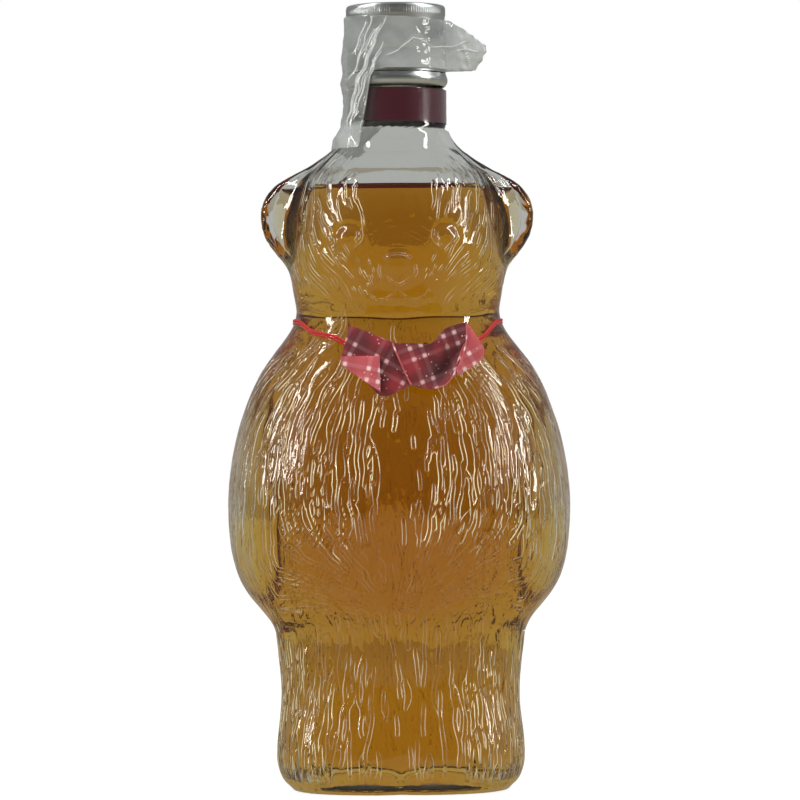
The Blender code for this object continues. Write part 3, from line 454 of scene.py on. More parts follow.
class Relief:
    """Raised hairs on the glass, drawn along its face: their height, and how far the nearest one is."""

    def __init__(self, points):
        self.points = points
        self.rows, self.columns = points.shape[:2]
        across = np.roll(points, -1, axis=1) - np.roll(points, 1, axis=1)
        self.across = 0.5 * np.linalg.norm(across, axis=-1)
        self.along = np.linalg.norm(np.gradient(points, axis=0), axis=-1)
        self.height = np.zeros((self.rows, self.columns))
        self.away = np.full((self.rows, self.columns), FAR_FROM_HAIR)
        self.side = np.full((self.rows, self.columns), FAR_FROM_HAIR)
        self.tall = np.zeros((self.rows, self.columns))
        self.owner = np.zeros((self.rows, self.columns), int)
        self.hairs = 0
        self.current_hair = 0

    def at(self, row, column):
        return self.points[int(row), int(column) % self.columns]

    def on_front(self, x, z):
        """Row and column of a place on the front."""
        row = float(np.interp(z, self.points[:, 0, 2], range(self.rows)))
        line = self.points[int(row)]
        front = np.flatnonzero(line[:, 1] < 0.0)
        return row, float(np.interp(x, line[front, 0], front))

    def stamp(self, row, column, ahead, height, half_width):
        """Raises one spot of a hair that runs ahead, where it is higher than what is there."""
        i = int(row)
        j = int(column) % self.columns
        reach = FAR_FROM_HAIR * half_width
        down = int(reach / self.along[i, j]) + 1
        aside = int(reach / self.across[i, j]) + 1
        i_range = np.arange(max(0, i - down), min(self.rows, i + down + 1))
        j_range = np.arange(j - aside, j + aside + 1) % self.columns
        block = np.ix_(i_range, j_range)
        corner = self.points[i, j]
        right = (self.points[i, (j + 1) % self.columns] - corner) / self.across[i, j]
        above = (self.points[i + 1, j] - corner) / self.along[i, j]
        u = row - i
        v = column - math.floor(column)
        centre = corner + right * (v * self.across[i, j]) + above * (u * self.along[i, j])
        offset = (self.points[block] - centre) / half_width
        off = np.linalg.norm(offset, axis=-1)
        nearer = off < self.away[block]
        sideways = offset @ (ahead[1] * right - ahead[0] * above)
        self.side[block] = np.where(nearer, sideways, self.side[block])
        self.away[block] = np.where(nearer, off, self.away[block])
        self.tall[block] = np.where(nearer, height / HAIR_HEIGHT, self.tall[block])
        self.height[block] = np.maximum(self.height[block], height * np.exp(-0.5 * off**2))
        free = (self.owner[block] == 0) & (off < 0.9)
        self.owner[block] = np.where(free, self.current_hair, self.owner[block])

    def stroke(self, row, column, length, flow, height, half_width, draw, parent=0, turn=0.0):
        """One hair: a wavy line that follows the flow, thin at both ends. It stops where it meets another.

        A branch starts from its parent, with the turn as its first lean, and has none of its own.
        """
        step = HAIR_STEP
        count = int(length / step)
        self.hairs += 1
        me = self.hairs
        phase = draw.uniform(0.0, 2.0 * math.pi)
        wave = draw.uniform(0.008, 0.018)
        sway = draw.uniform(0.06, 0.24)
        branch_at = draw.randrange(count) if draw.random() < 0.45 and not turn and count > 20 else -1
        branch = None
        apart = not parent
        for k in range(count):
            if not 2 <= row < self.rows - 3:
                break
            i = int(row)
            j = int(column) % self.columns
            met = self.owner[i, j]
            apart = apart or met in (0, me)
            if met and met != me and (met != parent or apart):
                break
            x, y, z = self.points[i, j]
            aside, up = flow(x, y, z)
            lean = turn * (math.exp(-k * step / 0.003) - 0.8 * math.exp(-(count - k) * step / 0.003))
            swing = sway * math.sin(2.0 * math.pi * k * step / wave + phase) + lean
            cos, sin = math.cos(swing), math.sin(swing)
            aside, up = aside * cos - up * sin, aside * sin + up * cos
            row += up * step / self.along[i, j]
            column += aside * step / self.across[i, j]
            share = k / count
            taper = min(1.0, 6.0 * share + 0.3, 6.0 * (1.0 - share) + 0.3)
            if turn:
                taper = 1.0
            if 2 <= row < self.rows - 3:
                self.current_hair = me
                self.stamp(row, column, (aside, up), height * taper, half_width * (0.7 + 0.3 * taper))
            if k == branch_at:
                branch = (row, column)
        if branch:
            side = draw.choice((-0.8, 0.8))
            reach = 0.7 * length
            self.stroke(*branch, reach, flow, height, half_width, draw, me, side)

    def line(self, places_on_front, height, half_width):
        """A smooth line through places on the front, given as x and z in millimetres."""
        way = spline_row(places_on_front, 14 * len(places_on_front)) * MM
        self.hairs += 1
        self.current_hair = self.hairs
        for (x, z), (next_x, next_z) in zip(way, way[1:]):
            size = math.hypot(next_x - x, next_z - z)
            ahead = ((next_x - x) / size, (next_z - z) / size)
            self.stamp(*self.on_front(x, z), ahead, height, half_width)


def fur_flow(x, y, z):
    """The way the hair lies, as a unit step aside and up on the face: mostly down."""
    if y > 0.0:
        return 0.0, -1.0
    if z > CREASE_Z + 0.002:
        fan = float(smooth_step(0.158, 0.168, z) * smooth_step(0.030, 0.022, abs(x)))
        aside, up = (0.2 + 0.8 * fan) * x, max(1.3 * (z - 0.150), 0.015)
    else:
        aside, up = 0.0, -1.0
        if z > 0.104:
            fan = float(smooth_step(0.104, 0.132, z))
            aside, up = fan * x, fan * (z - 0.185) - (1.0 - fan) * 0.05
        elif z < 0.098 and z > BELLY_POINT_Z and abs(x) < BELLY_HALF_WIDTH:
            gather = float(smooth_step(0.098, 0.070, z))
            aside, up = -gather * x, gather * (BELLY_POINT_Z - 0.002 - z) - (1.0 - gather) * 0.04
    size = math.hypot(aside, up) or 1.0
    return aside / size, up / size


def fur_density(x, y, z):
    """How many of the possible hairs are there: none on forehead, muzzle, eyes and ears."""
    if z > 0.186:
        return 0.0
    if z > 0.163 and abs(x) > 0.0315:
        return 0.0
    if y > 0.0:
        return 0.9
    if 0.139 < z < 0.152:
        return 0.2
    if z > CREASE_Z:
        if abs(x) < 0.0105 or math.hypot(x, z - MUZZLE_Z) < 0.0150:
            return 0.0
        if math.hypot(abs(x) - EYE_X, z - EYE_Z) < 0.0046:
            return 0.0
        return 0.95
    if abs(x) > 0.041:
        return 0.6
    if z < BELLY_POINT_Z and abs(x) < 0.020:
        return 0.45
    if abs(x) < 0.006:
        return 0.35
    return 0.70 if abs(x) < 0.014 else 1.0


def fur_height(x, y, z):
    """How tall the hair is: low on the lower belly, where it is pressed flat, and on the back."""
    if y > 0.0:
        return 0.20 if z > CREASE_Z else 0.45
    if z > CREASE_Z:
        return 0.25 + 0.75 * float(smooth_step(0.156, 0.163, z))
    if z > 0.136:
        return 0.25 + 0.75 * float(smooth_step(0.143, 0.137, z))
    if BELLY_POINT_Z - 0.008 < z < 0.100 and abs(x) < BELLY_HALF_WIDTH:
        return 0.10 + 0.90 * float(smooth_step(0.083, 0.093, z))
    if z < BELLY_POINT_Z:
        return 0.45 + 0.55 * float(smooth_step(0.012, 0.024, abs(x)))
    on_arm = float(smooth_step(0.035, 0.046, abs(x)))
    return (1.0 if z > 0.090 else 0.5) * (1.0 - 0.6 * on_arm)


def fur_relief(points):
    """The hair over the whole glass, drawn row by row from the feet up, and the lines of the face."""
    relief = Relief(points)
    draw = random.Random(RANDOM_SEED)
    for places_on_front in FACE_LINES:
        relief.line(places_on_front, FACE_LINE_HEIGHT, FACE_LINE_HALF_WIDTH)
        if places_on_front[0][0] * places_on_front[-1][0] > 0.0:
            mirrored = [(-x, z) for x, z in places_on_front]
            relief.line(mirrored, FACE_LINE_HEIGHT, FACE_LINE_HALF_WIDTH)
    z = 0.008
    while z < 0.190:
        on_head = z > CREASE_Z + 0.004
        length = 0.0075 if on_head else 0.0190
        row = float(np.interp(z, points[:, 0, 2], range(relief.rows)))
        line = relief.across[int(row)]
        column = draw.uniform(0.0, 3.0)
        while column < relief.columns:
            higher = z + draw.uniform(-0.5, 0.5) * 0.4 * length
            i = int(np.clip(np.interp(higher, points[:, 0, 2], range(relief.rows)), 3, relief.rows - 4))
            x, y, height = relief.at(i, column)
            clear = relief.away[i, int(column) % relief.columns] > 2.9
            if clear and draw.random() < fur_density(x, y, height):
                reach = length * draw.uniform(0.5, 1.6)
                if not on_head and y < 0.0:
                    reach *= 0.35 + 0.65 * float(smooth_step(0.004, 0.016, abs(x)))
                raised = HAIR_HEIGHT * fur_height(x, y, height) * draw.uniform(0.8, 1.2)
                half_width = draw.uniform(0.00056, 0.00072)
                if on_head:
                    half_width *= 0.70
                relief.stroke(float(i), column, reach, fur_flow, raised, half_width, draw)
            gap = (0.0021 if on_head else 0.0027) * draw.uniform(0.7, 1.35)
            column += gap / line[int(column) % relief.columns]
        z += 0.36 * length
    for side in (-1.0, 1.0):
        for _ in range(16):
            away, angle = 0.0044 * math.sqrt(draw.random()), draw.uniform(0.0, 2.0 * math.pi)
            x = side * 0.0105 + away * math.cos(angle)
            row, column = relief.on_front(x, MUZZLE_Z - 0.002 + 1.5 * away * math.sin(angle))
            relief.stroke(row, column, draw.uniform(0.001, 0.0028), fur_flow, HAIR_HEIGHT, 0.00036, draw)
    return relief


def face_relief(points):
    """Eyes, nose, mouth, ear hollows and the groove between head and ear, as smooth forms in front."""
    x = points[..., 0]
    y = points[..., 1]
    z = points[..., 2]
    front = smooth_step(-0.001, -0.004, y)
    eye_away = np.hypot(np.abs(x) - EYE_X, z - EYE_Z) / EYE_RADIUS
    eyes = 0.0009 * np.sqrt(np.clip(1.0 - eye_away**2, 0.0, 1.0))
    # A groove runs round each eye.
    eyes -= 0.00020 * np.exp(-0.5 * ((eye_away - 1.20) / 0.16) ** 2)
    drop = np.clip((NOSE_Z + 0.0035 - z) / 0.0080, 0.0, 1.0)
    nose_half = 0.0048 * (1.0 - 0.72 * drop**1.5)
    nose_away = np.hypot(x / nose_half, (z - NOSE_Z) / 0.0044)
    nose = 0.0010 * (1.0 - smooth_step(0.40, 1.15, nose_away))
    under = np.exp(-0.5 * ((z - MOUTH_Z_ON_FACE) / 0.0011) ** 2) * smooth_step(0.0105, 0.0065, np.abs(x))
    mouth = 0.0004 * under
    ear_away = np.hypot((np.abs(x) - EAR_X) / 0.0066, (z - EAR_Z) / 0.0085)
    ears = 0.0008 * (1.0 - smooth_step(0.35, 1.05, ear_away))
    seam_x = SEAM_TOP[0] + (SEAM_TOP[1] - z) / (SEAM_TOP[1] - SEAM_FOOT[1]) * (SEAM_FOOT[0] - SEAM_TOP[0])
    on_seam = smooth_step(SEAM_FOOT[1] - 0.002, SEAM_FOOT[1] + 0.003, z) * smooth_step(0.195, 0.189, z)
    seam = 0.0016 * np.exp(-0.5 * ((np.abs(x) - seam_x) / 0.0008) ** 2) * on_seam
    return (eyes + nose - mouth - ears - seam) * front


def unevenness(points, size, height):
    """Waves of about that size in the glass, as a height for each point."""
    x, y, z = points[..., 0] / size, points[..., 1] / size, points[..., 2] / size
    across = np.sin(x + 1.7 * y + 0.3) * np.sin(0.8 * z + 0.6 * x)
    aslant = np.sin(1.3 * z - y) * np.sin(1.1 * x + 2.0)
    return 0.5 * height * (across + aslant)


def hammered_share(points):
    """1 where the mould is hammered instead of combed, on the ears and shoulders, and 0 elsewhere."""
    aside = np.abs(points[..., 0])
    level = points[..., 2]
    ears = smooth_step(0.034, 0.038, aside) * smooth_step(0.165, 0.169, level)
    shoulders = smooth_step(0.012, 0.017, aside) * smooth_step(0.187, 0.190, level)
    return np.maximum(ears, shoulders)


def join_loops(bm, first, second):
    """Faces between two loops of points, of which the first may have several times as many."""
    ratio = len(first) // len(second)
    count = len(second)
    for k in range(count):
        edge = [first[(ratio * k + n) % len(first)] for n in range(ratio + 1)]
        bm.faces.new(edge + [second[(k + 1) % count], second[k]])


def lofted(name, loops, tips, material):
    """A closed body through loops of points, with a tip at either end."""
    bm = bmesh.new()
    rings = [[bm.verts.new(place) for place in loop] for loop in loops]
    for low, high in zip(rings, rings[1:]):
        if len(low) >= len(high):
            join_loops(bm, low, high)
        else:
            join_loops(bm, high, low)
    for ring, tip in ((rings[0], tips[0]), (rings[-1], tips[1])):
        centre = bm.verts.new(tip)
        for k, corner in enumerate(ring):
            bm.faces.new((corner, ring[(k + 1) % len(ring)], centre))
    bmesh.ops.recalc_face_normals(bm, faces=bm.faces)
    return mesh_object(name, bm, material)


def with_hem_lifted(radii, angles, heights):
    """The same distances, with the belly's hem drawn up in front."""
    aside = np.abs(radii * np.cos(angles))
    level = heights[:, None]
    lift = HEM_LIFT * smooth_step(0.042, 0.026, aside) * smooth_step(0.2, 0.6, -np.sin(angles))
    lift = lift * smooth_step(0.030, 0.052, level) * smooth_step(0.100, 0.072, level)
    columns = [np.interp(heights - lift[:, k], heights, radii[:, k]) for k in range(angles.shape[1])]
    return np.stack(columns, axis=1)


def outer_face(tree):
    """The glass's outer face from heel to neck, with its relief."""
    heights = stepped([
        (HEEL_Z, 0.010, 0.0012),
        (0.010, 0.050, 0.0019),
        (0.050, 0.076, 0.0010),
        (0.076, 0.115, 0.0015),
        (0.115, 0.150, 0.0013),
        (0.150, 0.196, 0.0010),
        (0.196, NECK_FOOT_Z, 0.0015),
    ])
    angles = column_angles(OUTER_COLUMNS, heights, 0.28, 1.3)
    radii = face_radii(tree, angles, heights, True)
    radii = with_hem_lifted(radii, angles, heights)
    in_front = -np.sin(angles)
    level = heights[:, None]
    crisp = blurred(radii, 1.1, 2.0)
    soft = blurred(radii, 2.6, 2.6)
    by_end = smooth_step(0.010, 0.003, level)
    radii = by_end * crisp + (1.0 - by_end) * soft
    aside = np.abs(radii * np.cos(angles))
    by_arm = smooth_step(0.026, 0.032, aside) * smooth_step(0.0, 0.15, in_front)
    by_arm = by_arm * smooth_step(0.048, 0.058, level) * smooth_step(0.128, 0.112, level)
    radii = by_arm * blurred(radii, 3.0, 11.0) + (1.0 - by_arm) * radii
    on_muzzle = smooth_step(0.149, 0.153, level) * smooth_step(0.182, 0.175, level)
    on_muzzle = on_muzzle * smooth_step(0.4, 0.7, in_front)
    radii = on_muzzle * blurred(radii, 3.5, 8.0) + (1.0 - on_muzzle) * radii
    plain = places(radii, angles, heights)
    fade = (smooth_step(0.004, 0.009, heights) * smooth_step(0.205, 0.198, heights))[:, None]
    relief = fur_relief(plain)
    relief.tall *= fade
    raised = relief.height + face_relief(plain) + unevenness(plain, BLOWN_WAVE_SIZE, BLOWN_WAVE_HEIGHT)
    raised += hammered_share(plain) * unevenness(plain, HAMMERED_WAVE_SIZE, HAMMERED_WAVE_HEIGHT)
    return plain + grid_normals(plain) * (raised * fade)[..., None], relief


def inner_face(tree, heights):
    """The glass's inner face at these heights: deep in the ears, narrow at the arms, with a lower floor."""
    angles = column_angles(INNER_COLUMNS, heights, 0.0, 4.0)
    by_ears = (smooth_step(0.166, 0.174, heights) * smooth_step(0.200, 0.193, heights))[:, None]
    read_at = np.interp(heights, [FLOOR_Z, 0.030, MOUTH_Z], [INNER_FLOOR_Z, 0.030, MOUTH_Z])
    radii = with_hem_lifted(face_radii(tree, angles, read_at, False), angles, heights)
    by_arms = smooth_step(0.058, 0.078, heights) * smooth_step(0.142, 0.122, heights)
    aside = np.abs(radii * np.cos(angles))
    radii = radii - ARM_GLASS * by_arms[:, None] * smooth_step(0.028, 0.048, aside)
    side = np.where(np.cos(angles) > 0.0, 1.0, -1.0)
    off = np.arcsin(np.clip(np.sin(angles), -1.0, 1.0)) - EAR_BACK
    wider = EAR_BACK + np.clip(EAR_NARROWING * off, -1.4, 1.4)
    ear_angles = np.where(side > 0.0, wider, math.pi - wider)
    by_ears = by_ears * smooth_step(math.radians(26.0), math.radians(16.0), np.abs(off))
    in_ear = face_radii(tree, ear_angles, read_at, True) - EAR_GLASS
    radii = radii + by_ears * np.clip(in_ear - radii, 0.0, None)
    radii = by_ears * blurred(radii, 0.6, 0.8) + (1.0 - by_ears) * blurred(radii, 1.6, 1.6)
    # A ridge inside the feet, where the blown wall met the cold base.
    ridge = RIDGE_HEIGHT * np.exp(-(((heights - RIDGE_Z) / 0.0014) ** 2))
    radii = radii - ridge[:, None] * smooth_step(0.1, 0.5, -np.sin(angles))
    return places(radii, angles, heights)


def glass_bottle(material, wetted):
    """The whole bottle as one closed wall: outside up, over the mouth, and down the inside."""
    tree = cad_tree("glass_bottle")
    outside, relief = outer_face(tree)
    neck_heights = stepped([
        (NECK_FOOT_Z + 0.001, 0.2205, 0.0024),
        (0.2206, 0.2268, 0.00045),
        (0.2270, MOUTH_Z - 0.0008, 0.0007),
        (MOUTH_Z - 0.0006, MOUTH_Z - 0.0001, 0.00025),
    ])
    even = -math.pi + (np.arange(INNER_COLUMNS) + 0.5) * 2.0 * math.pi / INNER_COLUMNS
    neck_angles = np.repeat(even[None, :], len(neck_heights), axis=0)
    neck = places(face_radii(tree, neck_angles, neck_heights, True), neck_angles, neck_heights)
    lip = neck[-1] * (0.9, 0.9, 0.0) + (0.0, 0.0, MOUTH_Z)
    bore_heights = np.linspace(MOUTH_Z - 0.0006, BORE_FOOT_Z, 8)
    bore_angles = np.repeat(even[None, :], len(bore_heights), axis=0)
    bore = places(face_radii(tree, bore_angles, bore_heights, False), bore_angles, bore_heights)
    inside = inner_face(tree, inner_heights())[::-1]
    sole = []
    for share in SOLE_SHARES:
        ring = outside[0, 2::4] * share
        for place in ring:
            hit = tree.ray_cast(Vector((place[0], place[1], -0.01)), Vector((0.0, 0.0, 1.0)))[0]
            place[2] = hit.z
        sole.append(ring)
    sole = sole[::-1]
    loops = sole + list(outside) + list(neck) + [lip] + list(bore) + list(inside)
    punt = tree.ray_cast(Vector((0.0001, 0.0001, -0.01)), Vector((0.0, 0.0, 1.0)))[0]
    tips = ((0.0, 0.0, punt.z), (0.0, 0.0, FLOOR_Z))
    bottle = lofted("glass_bottle_moulded", loops, tips, material)
    first = len(sole) * INNER_COLUMNS
    measured = (
        ("from_hair", relief.away, FAR_FROM_HAIR),
        ("across_hair", relief.side, FAR_FROM_HAIR),
        ("hair_height", relief.tall, 0.0),
    )
    for name, values, elsewhere in measured:
        whole = np.full(len(bottle.data.vertices), elsewhere)
        whole[first:first + values.size] = values.ravel()
        set_attribute(bottle, name, whole)
    first_inside = sum(len(loop) for loop in loops[:-len(inside)])
    bottle.data.materials.append(wetted)
    for face in bottle.data.polygons:
        low_enough = face.center.z < FILL_Z - 0.0001
        face.material_index = int(low_enough and min(face.vertices) >= first_inside)
    return bottle


def inner_heights():
    """The heights of the glass's inner face and of the whisky's side, which share them."""
    return stepped([
        (FLOOR_Z + 0.0001, FLOOR_Z + 0.004, 0.0008),
        (FLOOR_Z + 0.004, 0.022, 0.0010),
        (0.022, 0.042, 0.0050),
        (0.042, 0.078, 0.0018),
        (0.078, 0.130, 0.0080),
        (0.130, FILL_Z, 0.0030),
        (FILL_Z, 0.202, 0.0020),
        (0.202, 0.2230, 0.0045),
    ])


def whisky(side_material, top_material):
    """The liquid, just over the glass's inner face, so that no air shows between them."""
    tree = cad_tree("glass_bottle")
    heights = inner_heights()
    wall = inner_face(tree, heights)[heights < FILL_Z + 0.0001]
    wet = wall + grid_normals(wall) * WHISKY_LAP
    wet[..., 2] = wall[..., 2]
    loops = list(wet)
    for inward, climb in MENISCUS_CURVE:
        share = 1.0 - inward / np.linalg.norm(wet[-1][:, :2], axis=1)[:, None]
        ring = wet[-1] * np.hstack([share, share, np.ones(share.shape)])
        loops.append(ring - (0.0, 0.0, MENISCUS * (1.0 - climb)))
    loops.append(wet[-1] * (0.4, 0.4, 1.0) - (0.0, 0.0, MENISCUS))
    tips = ((0.0, 0.0, FLOOR_Z - WHISKY_LAP), (0.0, 0.0, FILL_Z - MENISCUS))
    fill = lofted("whisky_fill", loops, tips, side_material)
    fill.data.materials.append(top_material)
    top_starts = wet.shape[0] * wet.shape[1] - INNER_COLUMNS
    for face in fill.data.polygons:
        face.material_index = int(min(face.vertices) >= top_starts)
    return fill


def rolled_aluminium():
    """Thin aluminium sheet, rolled on the neck and clear lacquered: satin, with fine turning lines."""
    material, tree = new_material("rolled_aluminium")
    place = add_node(tree, "TexCoord")
    drawn = add_node(tree, "Mapping", {"Scale": (40.0, 40.0, 9000.0), "Vector": place.outputs["Object"]})
    lines = add_node(tree, "TexNoise", {"Scale": 1.0, "Detail": 2.0, "Vector": drawn.outputs[0]})
    smudges = add_node(
        tree,
        "TexNoise",
        {"Scale": 140.0, "Detail": 4.0, "Vector": place.outputs["Object"]},
    )
    gloss = ranged(tree, smudges.outputs[0], 0.0, 1.0, 0.20, 0.42)
    relief = add_node(tree, "Bump", {"Strength": 0.35, "Distance": 0.00004, "Height": lines.outputs[0]})
    add_surface(tree, {
        "Base Color": linear("#c3c7c8"),
        "Metallic": 1.0,
        "Roughness": gloss,
        "Normal": relief.outputs[0],
    })
    return material


def white_polyethylene():
    """Foamed polyethylene, cut from sheet: matt white, with fine cells."""
    material, tree = new_material("white_polyethylene")
    place = add_node(tree, "TexCoord")
    cells = add_node(tree, "TexVoronoi", {"Scale": 2500.0, "Vector": place.outputs["Object"]})
    relief = add_node(tree, "Bump", {"Strength": 0.3, "Distance": 0.0001, "Height": cells.outputs[0]})
    add_surface(tree, {
        "Base Color": linear("#ecece8"),
        "Roughness": 0.55,
        "Subsurface Weight": 0.1,
        "Normal": relief.outputs[0],
    })
    return material


def coated_paper():
    """Dark red coated label paper: the coat gives a soft gloss, and the fibres show as faint mottling."""
    material, tree = new_material("coated_paper")
    place = add_node(tree, "TexCoord")
    fibres = add_node(
        tree,
        "TexNoise",
        {"Scale": 1600.0, "Detail": 5.0, "Vector": place.outputs["Object"]},
    )
    colour = mixed_colour(tree, fibres.outputs[0], linear("#300d16"), linear("#421620"))
    relief = add_node(tree, "Bump", {"Strength": 0.05, "Distance": 0.00005, "Height": fibres.outputs[0]})
    add_surface(tree, {
        "Roughness": 0.26,
        "Coat Weight": 1.0,
        "Coat Roughness": 0.07,
        "Base Color": colour,
        "Normal": relief.outputs[0],
    })
    return material


def crumpled_film():
    """Clear shrink film, creased when it was torn: glossy where it is smooth, milky where it is creased."""
    material, tree = new_material("crumpled_film")
    place = add_node(tree, "TexCoord")
    clouds = add_node(
        tree,
        "TexNoise",
        {"Scale": 170.0, "Detail": 3.0, "Vector": place.outputs["Object"]},
    )
    creases = add_node(
        tree,
        "TexNoise",
        {"Scale": 420.0, "Detail": 4.0, "Distortion": 1.2, "Vector": place.outputs["Object"]},
    )
    milky = add_node(tree, "Attribute", attribute_name="milky")
    clear = ranged(tree, milky.outputs["Fac"], 0.0, 1.0, 0.95, 0.12)
    dull = ranged(tree, clouds.outputs[0], 0.3, 0.7, 0.02, 0.10)
    relief = add_node(tree, "Bump", {"Strength": 0.3, "Distance": 0.0004, "Height": creases.outputs[0]})
    add_surface(tree, {
        "Base Color": linear("#eef1f0"),
        "IOR": 1.45,
        "Transmission Weight": clear,
        "Roughness": dull,
        "Normal": relief.outputs[0],
    })
    return material


def covered_elastic():
    """Rubber core braided over with red viscose: a soft sheen, and the braid as slanting ribs."""
    material, tree = new_material("covered_elastic")
    uv = add_node(tree, "UVMap", uv_map="UVMap")
    slant = add_node(tree, "Mapping", {"Rotation": (0.0, 0.0, 0.7), "Vector": uv.outputs[0]})
    ribs = add_node(tree, "TexWave", {"Scale": 1.1, "Distortion": 0.6, "Vector": slant.outputs[0]})
    colour = mixed_colour(tree, ribs.outputs["Fac"], linear("#8c0e10"), linear("#cc2321"))
    relief = add_node(tree, "Bump", {"Strength": 0.6, "Distance": 0.0001, "Height": ribs.outputs["Fac"]})
    add_surface(tree, {
        "Roughness": 0.5,
        "Sheen Weight": 0.1,
        "Base Color": colour,
        "Normal": relief.outputs[0],
    })
    return material


def stripe(tree, along, period, at, half_width):
    """1 inside a soft stripe that repeats with the period, 0 outside. Sizes are in millimetres."""
    shifted = calc(tree, "ADD", along, 0.5 * period - at)
    part = calc(tree, "FLOORED_MODULO", shifted, period)
    off = calc(tree, "SUBTRACT", part, 0.5 * period)
    away = calc(tree, "ABSOLUTE", off)
    return ranged(tree, away, 0.6 * half_width, 1.4 * half_width, 1.0, 0.0)


def plaid_ribbon(name, ground, band, line, roughness):
    """Polyester ribbon, woven plaid: two reds, pale double lines that cross as dots, and pale spots painted
    as the glints of metal thread.
    """
    material, tree = new_material(name)
    uv = add_node(tree, "UVMap", uv_map="UVMap")
    parts = add_node(tree, "SeparateXYZ", {0: uv.outputs[0]})
    colour = linear(ground)
    lines = []
    for axis in (0, 1):
        wide = stripe(tree, parts.outputs[axis], PLAID_PERIOD, 5.5, 2.8)
        double = [stripe(tree, parts.outputs[axis], PLAID_PERIOD, at, 0.60) for at in (1.2, 4.7)]
        lines.append(calc(tree, "MAXIMUM", *double))
        colour = mixed_colour(tree, calc(tree, "MULTIPLY", wide, 0.55), colour, linear(band))
    crossed = calc(tree, "MULTIPLY", lines[0], lines[1])
    either = calc(tree, "ADD", lines[0], lines[1])
    faint = calc(tree, "MULTIPLY", either, 0.07)
    pale = calc(tree, "MULTIPLY_ADD", crossed, 0.66, faint)
    lined = mixed_colour(tree, pale, colour, linear(line))
    # Painted glints: pale spots scattered over the ribbon stand in for the sparkle of metal thread.
    spots = add_node(tree, "TexVoronoi", {"Scale": 0.95, "Randomness": 0.9, "Vector": uv.outputs[0]})
    painted_glint_spots = ranged(tree, spots.outputs["Distance"], 0.14, 0.20, 1.0, 0.0)
    chosen = add_node(tree, "SeparateColor", {0: spots.outputs["Color"]})
    some = calc(tree, "GREATER_THAN", chosen.outputs[0], 0.62)
    shown = calc(tree, "MULTIPLY", painted_glint_spots, some)
    with_painted_glints = mixed_colour(tree, shown, lined, linear("#f0d3d3"))
    # Painted shade: little light gets into the ribbon's hollows, so they are darkened towards near black.
    lit = add_node(tree, "Attribute", attribute_name="lit")
    shade = ranged(tree, lit.outputs["Fac"], 0.0, 1.0, 0.72, 0.0)
    final = mixed_colour(tree, shade, with_painted_glints, linear("#1c0508"))
    weft = add_node(
        tree,
        "TexWave",
        {"Scale": 1.6, "Distortion": 0.3, "Vector": uv.outputs[0]},
        bands_direction="X",
    )
    warp = add_node(
        tree,
        "TexWave",
        {"Scale": 1.6, "Distortion": 0.3, "Vector": uv.outputs[0]},
        bands_direction="Y",
    )
    weave = calc(tree, "MULTIPLY", weft.outputs["Fac"], warp.outputs["Fac"])
    relief = add_node(tree, "Bump", {"Strength": 0.5, "Distance": 0.0001, "Height": weave})
    add_surface(tree, {
        "Roughness": roughness,
        "Sheen Weight": 0.25,
        "Base Color": final,
        "Normal": relief.outputs[0],
    })
    return material


def select_faces(wall, wanted):
    """Selects the faces that the function picks, and leaves the mesh open in edit mode."""
    bpy.ops.object.mode_set(mode="EDIT")
    bpy.ops.mesh.select_mode(type="FACE")
    bpy.ops.mesh.select_all(action="DESELECT")
    bpy.ops.object.mode_set(mode="OBJECT")
    for face in wall.data.polygons:
        face.select = wanted(face)
    bpy.ops.object.mode_set(mode="EDIT")


def add_wall(name, columns, low, high, levels, top_closed=False):
    """A cylinder's side as Blender adds it, cut into rows at the levels and ready to be shaped."""
    bpy.ops.object.select_all(action="DESELECT")
    bpy.ops.mesh.primitive_cylinder_add(
        vertices=columns,
        radius=1.0,
        depth=high - low,
        end_fill_type="NGON",
        location=(0.0, 0.0, 0.5 * (low + high)),
    )
    wall = bpy.context.object
    wall.name = name
    bpy.ops.object.transform_apply(location=True, rotation=False, scale=False)
    select_faces(wall, lambda face: face.normal.z < -0.9 or (face.normal.z > 0.9 and not top_closed))
    bpy.ops.mesh.delete(type="FACE")
    for z in levels:
        bpy.ops.mesh.select_all(action="SELECT")
        bpy.ops.mesh.bisect(plane_co=(0.0, 0.0, z), plane_no=(0.0, 0.0, 1.0))
    bpy.ops.mesh.select_all(action="DESELECT")
    bpy.ops.object.mode_set(mode="OBJECT")
    return wall


def shape_wall(wall, place_of):
    """Moves each point to the place that the function gives for its angle and height."""
    for corner in wall.data.vertices:
        angle = math.atan2(corner.co.y, corner.co.x)
        inward = math.hypot(corner.co.x, corner.co.y)
        corner.co = place_of(angle, corner.co.z, inward)


def give_thickness(obj, thickness, offset):
    """Applies a Solidify modifier of that thickness."""
    bpy.ops.object.select_all(action="DESELECT")
    obj.select_set(True)
    bpy.context.view_layer.objects.active = obj
    wall = obj.modifiers.new("thickness", "SOLIDIFY")
    wall.thickness = thickness
    wall.offset = offset
    wall.use_even_offset = False
    bpy.ops.object.modifier_apply(modifier=wall.name)
    obj.data.shade_smooth()
    obj.data.set_sharp_from_angle(angle=math.radians(50.0))


def at_angle(radius, angle, z):
    """The place at that distance and angle from the axis."""
    return (radius * math.cos(angle), radius * math.sin(angle), z)


